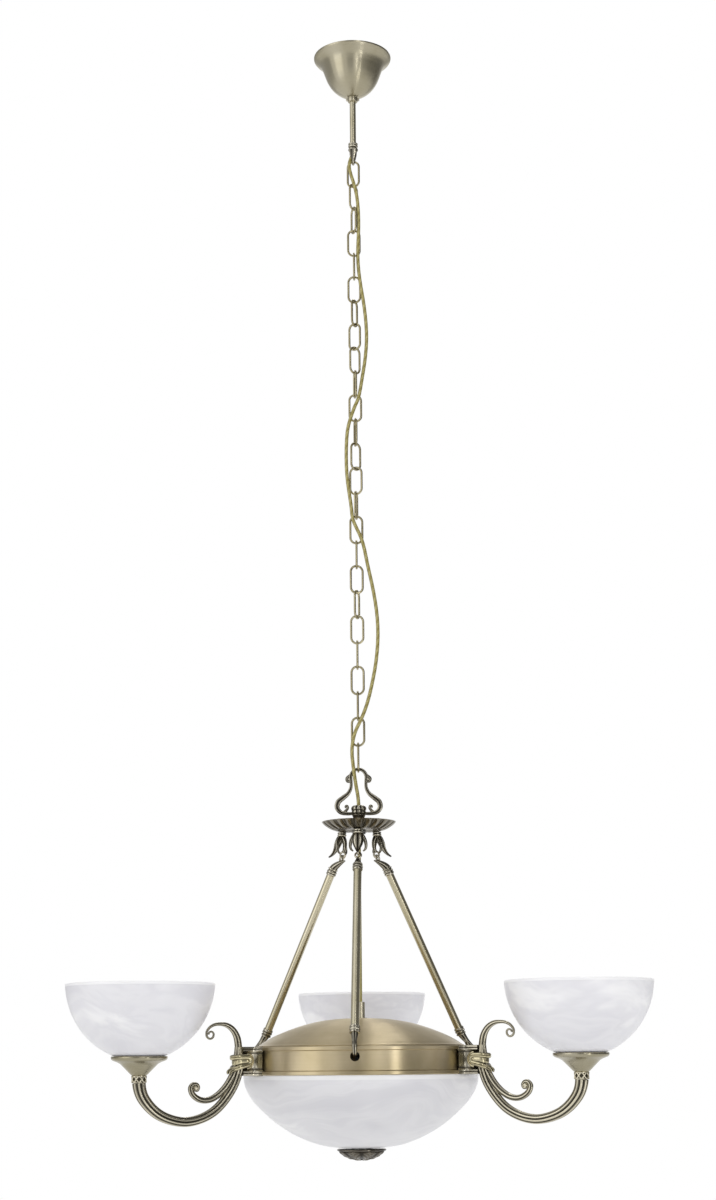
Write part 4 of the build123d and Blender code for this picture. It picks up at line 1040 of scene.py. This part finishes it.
class CHANDELIER_OT_finial(bpy.types.Operator):
    """Adds the finial with its leaf relief"""

    bl_idname = "chandelier.finial"
    bl_label = "Finial"

    def execute(self, context):
        looks = finishes()
        rim = [
            (5.2, -1416.2), (28.6, -1416.2), (29.4, -1416.9), (29.4, -1417.8), (28.4, -1418.5), (27.6, -1418.8),
        ]
        dish = outline_of([
            (27.6, -1418.8), (27.4, -1420.0), (25.2, -1422.0), (21.0, -1424.8), (15.6, -1427.0), (9.0, -1428.6),
            (0.0, -1429.2),
        ], 7)

        def leaves(angle, part):
            if part < 0.12:
                return 0.0, 0.9 if 0.07 < part < 0.12 else 0.0
            reach = (part - 0.12) / 0.88
            petal = (8 * angle / (2 * math.pi)) % 1.0 - 0.5
            edge = 0.46 * math.sin(math.pi * min(1.0, 0.18 + 0.82 * reach)) ** 0.6
            inside = max(0.0, 1 - (abs(petal) / max(edge, 0.05)) ** 4)
            vein = math.exp(-((petal / 0.05) ** 2))
            side = 0.5 + 0.5 * math.cos(2 * math.pi * (4.5 * reach + 2.4 * abs(petal)))
            height = inside * (0.55 + 0.45 * side) + 0.5 * vein
            return 1.1 * height - 1.0, min(1.0, max(0.0, 1.15 - 1.25 * height))

        form = Form().turned(rim + dish[1:], 288, leaves, closed=False)
        form.piece("finial_leaf", looks["finial_brass"], "finial", "cast_brass", ("finial",))
        return {"FINISHED"}


# Stage

class CHANDELIER_OT_stage(bpy.types.Operator):
    """Adds the camera, lamps, surroundings and floor"""

    bl_idname = "chandelier.stage"
    bl_label = "Stage"

    def execute(self, context):
        scene = bpy.context.scene
        scene.view_settings.view_transform = "Standard"
        stage = scene.chandelier_stage
        camera = bpy.data.objects.new("camera", bpy.data.cameras.new("camera"))
        scene.collection.objects.link(camera)
        camera.data.sensor_width = 36.0
        camera.data.lens = stage.lens
        camera.data.clip_end = 50.0
        camera.location = (stage.side, -stage.distance, stage.height)
        turn = Matrix.Rotation(stage.yaw, 4, "Z") @ Matrix.Rotation(math.pi / 2 + stage.pitch, 4, "X")
        camera.rotation_euler = (turn @ Matrix.Rotation(stage.roll, 4, "Z")).to_euler()
        scene.camera = camera

        # Name, place, the height on the axis that it faces, width, height and watts
        lamps = (
            ("left_softbox", (-2.4, -1.7, -0.3), -1.0, 1.6, 2.2, 10.0),
            ("right_strip", (1.15, -1.75, -1.5), -1.0, 0.20, 1.8, 3.6),
            ("upper_strip", (0.62, -1.95, 0.1), -1.0, 0.14, 1.4, 2.4),
            ("dome_strip", (0.5, 1.0, 1.2), -1.27, 0.22, 1.2, 5.5),
        )
        for name, place, aim, wide, tall, power in lamps:
            data = bpy.data.lights.new(name, "AREA")
            data.shape = "RECTANGLE"
            data.size, data.size_y = wide, tall
            data.energy = power * stage.lamp_power
            lamp = bpy.data.objects.new(name, data)
            lamp.location = place
            lamp.rotation_euler = (Vector((0, 0, aim)) - Vector(place)).to_track_quat("-Z", "Y").to_euler()
            scene.collection.objects.link(lamp)

        world = bpy.data.worlds.new("studio")
        scene.world = world
        world.use_nodes = True
        tree = world.node_tree
        tree.nodes.clear()
        around = node(tree, "ShaderNodeTexCoord").outputs["Generated"]
        turn_value = node(tree, "ShaderNodeTexGradient", {"Vector": around}, gradient_type="RADIAL").outputs["Fac"]
        levels = (
            (0.00, 0.95), (0.10, 1.0), (0.18, 0.92), (0.205, 0.42), (0.255, 0.34), (0.275, 0.95), (0.305, 0.95),
            (0.335, 0.26), (0.45, 0.14), (0.60, 0.16), (0.67, 0.45), (0.705, 1.0), (0.785, 1.0), (0.82, 0.50),
            (0.95, 0.42),
        )
        studio = grey_steps(tree, turn_value, levels)
        path = node(tree, "ShaderNodeLightPath")
        soft = (0.86 * stage.room_level,) * 3 + (1,)
        room = node(tree, "ShaderNodeBackground", {"Color": soft, "Strength": 1.0})
        walls = node(tree, "ShaderNodeBackground", {"Color": studio, "Strength": 1.0})
        white = node(tree, "ShaderNodeBackground", {"Color": (1, 1, 1, 1), "Strength": 1.0})
        shiny = node(
            tree, "ShaderNodeMixShader", {0: path.outputs["Is Glossy Ray"], 1: room.outputs[0], 2: walls.outputs[0]},
        )
        seen = maths(tree, "MAXIMUM", path.outputs["Is Camera Ray"], path.outputs["Is Transmission Ray"])
        mix = node(tree, "ShaderNodeMixShader", {0: seen, 1: shiny.outputs[0], 2: white.outputs[0]})
        out = node(tree, "ShaderNodeOutputWorld", {0: mix.outputs[0]})
        out.is_active_output = True

        floor_mesh = bpy.data.meshes.new("floor")
        size, level = 8.0, -2.7
        floor_mesh.from_pydata(
            [(-size, -size, level), (size, -size, level), (size, size, level), (-size, size, level)], [],
            [(0, 1, 2, 3)],
        )
        floor = bpy.data.objects.new("floor", floor_mesh)
        scene.collection.objects.link(floor)
        tree, shader = new_finish("pale_floor")
        shader.inputs["Base Color"].default_value = (0.86, 0.86, 0.86, 1)
        shader.inputs["Roughness"].default_value = 0.8
        path = node(tree, "ShaderNodeLightPath")
        glow = node(tree, "ShaderNodeEmission", {"Color": (1, 1, 1, 1), "Strength": 1.0})
        shiny = maths(tree, "MAXIMUM", path.outputs["Is Glossy Ray"], path.outputs["Is Transmission Ray"])
        seen = maths(tree, "MAXIMUM", path.outputs["Is Camera Ray"], shiny)
        seen = maths(tree, "MULTIPLY", seen, 0.7)
        mix = node(tree, "ShaderNodeMixShader", {0: seen, 1: shader.outputs[0], 2: glow.outputs[0]})
        tree.links.new(mix.outputs[0], tree.nodes["Material Output"].inputs["Surface"])
        floor_mesh.materials.append(bpy.data.materials["pale_floor"])
        return {"FINISHED"}


# Settings, operators and panel

class ChandelierSizes(bpy.types.PropertyGroup):
    """Sizes of the cast ornament."""

    arm_reeds: IntProperty(name="Arm reeds", description="Reeds around each arm", default=8, min=4)
    reed_depth: FloatProperty(
        name="Reed depth", description="Depth of the grooves between reeds, as a share of the bar", default=0.22,
        min=0.0, max=0.5, subtype="FACTOR",
    )
    dish_flutes: IntProperty(
        name="Dish flutes", description="Flutes around the crown's dish", default=22, min=6,
    )
    dish_flute_depth: FloatProperty(
        name="Flute depth", description="Depth of the dish's flutes", default=0.0018, unit="LENGTH", precision=4,
    )


class ChandelierFinishes(bpy.types.PropertyGroup):
    """Colours of the finishes."""

    pale_brass: FloatVectorProperty(
        name="Pale brass", description="Canopy, tubes and cups", default=(0.66, 0.61, 0.47), subtype="COLOR", size=3
    )
    olive_brass: FloatVectorProperty(
        name="Olive brass", description="Aged tone of the pale brass", default=(0.50, 0.45, 0.30),
        subtype="COLOR", size=3,
    )
    warm_brass: FloatVectorProperty(
        name="Warm brass", description="Dome and band", default=(0.66, 0.56, 0.385), subtype="COLOR", size=3
    )
    warm_olive: FloatVectorProperty(
        name="Warm olive", description="Aged tone of the warm brass", default=(0.47, 0.39, 0.24),
        subtype="COLOR", size=3,
    )
    rubbed_brass: FloatVectorProperty(
        name="Rubbed brass", description="High places of the arms", default=(0.80, 0.74, 0.57),
        subtype="COLOR", size=3,
    )
    knot_gold: FloatVectorProperty(
        name="Knot gold", description="Ribbon knots", default=(0.80, 0.72, 0.47), subtype="COLOR", size=3
    )
    bronze: FloatVectorProperty(
        name="Bronze", description="Dark castings", default=(0.70, 0.65, 0.52), subtype="COLOR", size=3
    )
    chain_brass: FloatVectorProperty(
        name="Chain brass", description="Chain", default=(0.54, 0.49, 0.32), subtype="COLOR", size=3
    )
    chain_olive: FloatVectorProperty(
        name="Chain olive", description="Aged tone of the chain", default=(0.27, 0.23, 0.13), subtype="COLOR", size=3
    )
    finial_brass: FloatVectorProperty(
        name="Finial brass", description="Finial", default=(0.21, 0.19, 0.15), subtype="COLOR", size=3
    )
    finial_dark: FloatVectorProperty(
        name="Finial dark", description="Aged tone of the finial", default=(0.11, 0.095, 0.075),
        subtype="COLOR", size=3,
    )
    dish_brass: FloatVectorProperty(
        name="Dish brass", description="Crown's dish", default=(0.30, 0.275, 0.22), subtype="COLOR", size=3
    )
    dish_dark: FloatVectorProperty(
        name="Dish dark", description="Aged tone of the crown's dish", default=(0.16, 0.14, 0.105),
        subtype="COLOR", size=3,
    )
    # Patina in the grooves and specks; this colour also paints shade along the knots' edges and inner faces.
    patina_and_painted_shade: FloatVectorProperty(
        name="Patina", description="Dark tone in the grooves", default=(0.022, 0.018, 0.012), subtype="COLOR", size=3
    )
    glass: FloatVectorProperty(
        name="Glass", description="Alabaster glass", default=(0.775, 0.77, 0.805), subtype="COLOR", size=3
    )
    # This colour also paints the highlight along the glass lips.
    glass_veil: FloatVectorProperty(
        name="Glass veils", description="Lighter veils in the glass", default=(0.92, 0.915, 0.935),
        subtype="COLOR", size=3,
    )
    glass_shade: FloatVectorProperty(
        name="Glass clouds", description="Darker clouds in the glass", default=(0.715, 0.71, 0.75),
        subtype="COLOR", size=3,
    )
    cord_gold: FloatVectorProperty(
        name="Cord gold", description="Light tone of the cord", default=(0.41, 0.36, 0.13), subtype="COLOR", size=3
    )
    cord_olive: FloatVectorProperty(
        name="Cord olive", description="Dark tone of the cord", default=(0.27, 0.22, 0.05), subtype="COLOR", size=3
    )


class ChandelierStage(bpy.types.PropertyGroup):
    """Camera and light."""

    lens: FloatProperty(name="Lens", description="Focal length on 36 mm film", default=61.05, unit="CAMERA")
    distance: FloatProperty(
        name="Distance", description="Camera to the chandelier's axis", default=2.5076, unit="LENGTH"
    )
    side: FloatProperty(
        name="Side", description="Camera's place to the right", default=0.016, unit="LENGTH",
    )
    height: FloatProperty(name="Height", description="Camera's height", default=-1.3128, unit="LENGTH")
    pitch: FloatProperty(
        name="Pitch", description="Upward tilt", default=math.radians(12.73), unit="ROTATION",
    )
    yaw: FloatProperty(
        name="Yaw", description="Turn to the left", default=math.radians(0.335), unit="ROTATION",
    )
    roll: FloatProperty(
        name="Roll", description="Roll of the camera", default=math.radians(-0.5), unit="ROTATION",
    )
    room_level: FloatProperty(name="Room level", description="Strength of the surroundings", default=1.0)
    lamp_power: FloatProperty(name="Lamp power", description="Strength of the lamps", default=1.0)


OPERATORS = (
    CHANDELIER_OT_stage,
    CHANDELIER_OT_cord,
    CHANDELIER_OT_ceiling_set,
    CHANDELIER_OT_chain,
    CHANDELIER_OT_crown,
    CHANDELIER_OT_hangers,
    CHANDELIER_OT_rods,
    CHANDELIER_OT_body,
    CHANDELIER_OT_brackets,
    CHANDELIER_OT_arms,
    CHANDELIER_OT_cups,
    CHANDELIER_OT_glass,
    CHANDELIER_OT_finial,
)


class CHANDELIER_PT_panel(bpy.types.Panel):
    """Lists the steps and settings."""

    bl_label = "Chandelier"
    bl_idname = "CHANDELIER_PT_panel"
    bl_space_type = "VIEW_3D"
    bl_region_type = "UI"
    bl_category = "Chandelier"

    def draw(self, context):
        layout = self.layout
        for operator in OPERATORS:
            layout.operator(operator.bl_idname)
        for settings in (
            context.scene.chandelier_sizes, context.scene.chandelier_finishes, context.scene.chandelier_stage,
        ):
            box = layout.box()
            for key in settings.bl_rna.properties.keys():
                if key not in ("rna_type", "name"):
                    box.prop(settings, key)


CLASSES = (ChandelierSizes, ChandelierFinishes, ChandelierStage, *OPERATORS, CHANDELIER_PT_panel)


def register():
    """Registers the classes and the scene's settings."""
    for item in CLASSES:
        bpy.utils.register_class(item)
    bpy.types.Scene.chandelier_sizes = PointerProperty(type=ChandelierSizes)
    bpy.types.Scene.chandelier_finishes = PointerProperty(type=ChandelierFinishes)
    bpy.types.Scene.chandelier_stage = PointerProperty(type=ChandelierStage)


def unregister():
    """Removes what register added."""
    del bpy.types.Scene.chandelier_stage
    del bpy.types.Scene.chandelier_finishes
    del bpy.types.Scene.chandelier_sizes
    for item in reversed(CLASSES):
        bpy.utils.unregister_class(item)


def main():
    """Builds the whole chandelier."""
    register()
    for operator in OPERATORS:
        getattr(bpy.ops.chandelier, operator.bl_idname.split(".")[1])()


if __name__ == "__main__":
    main()
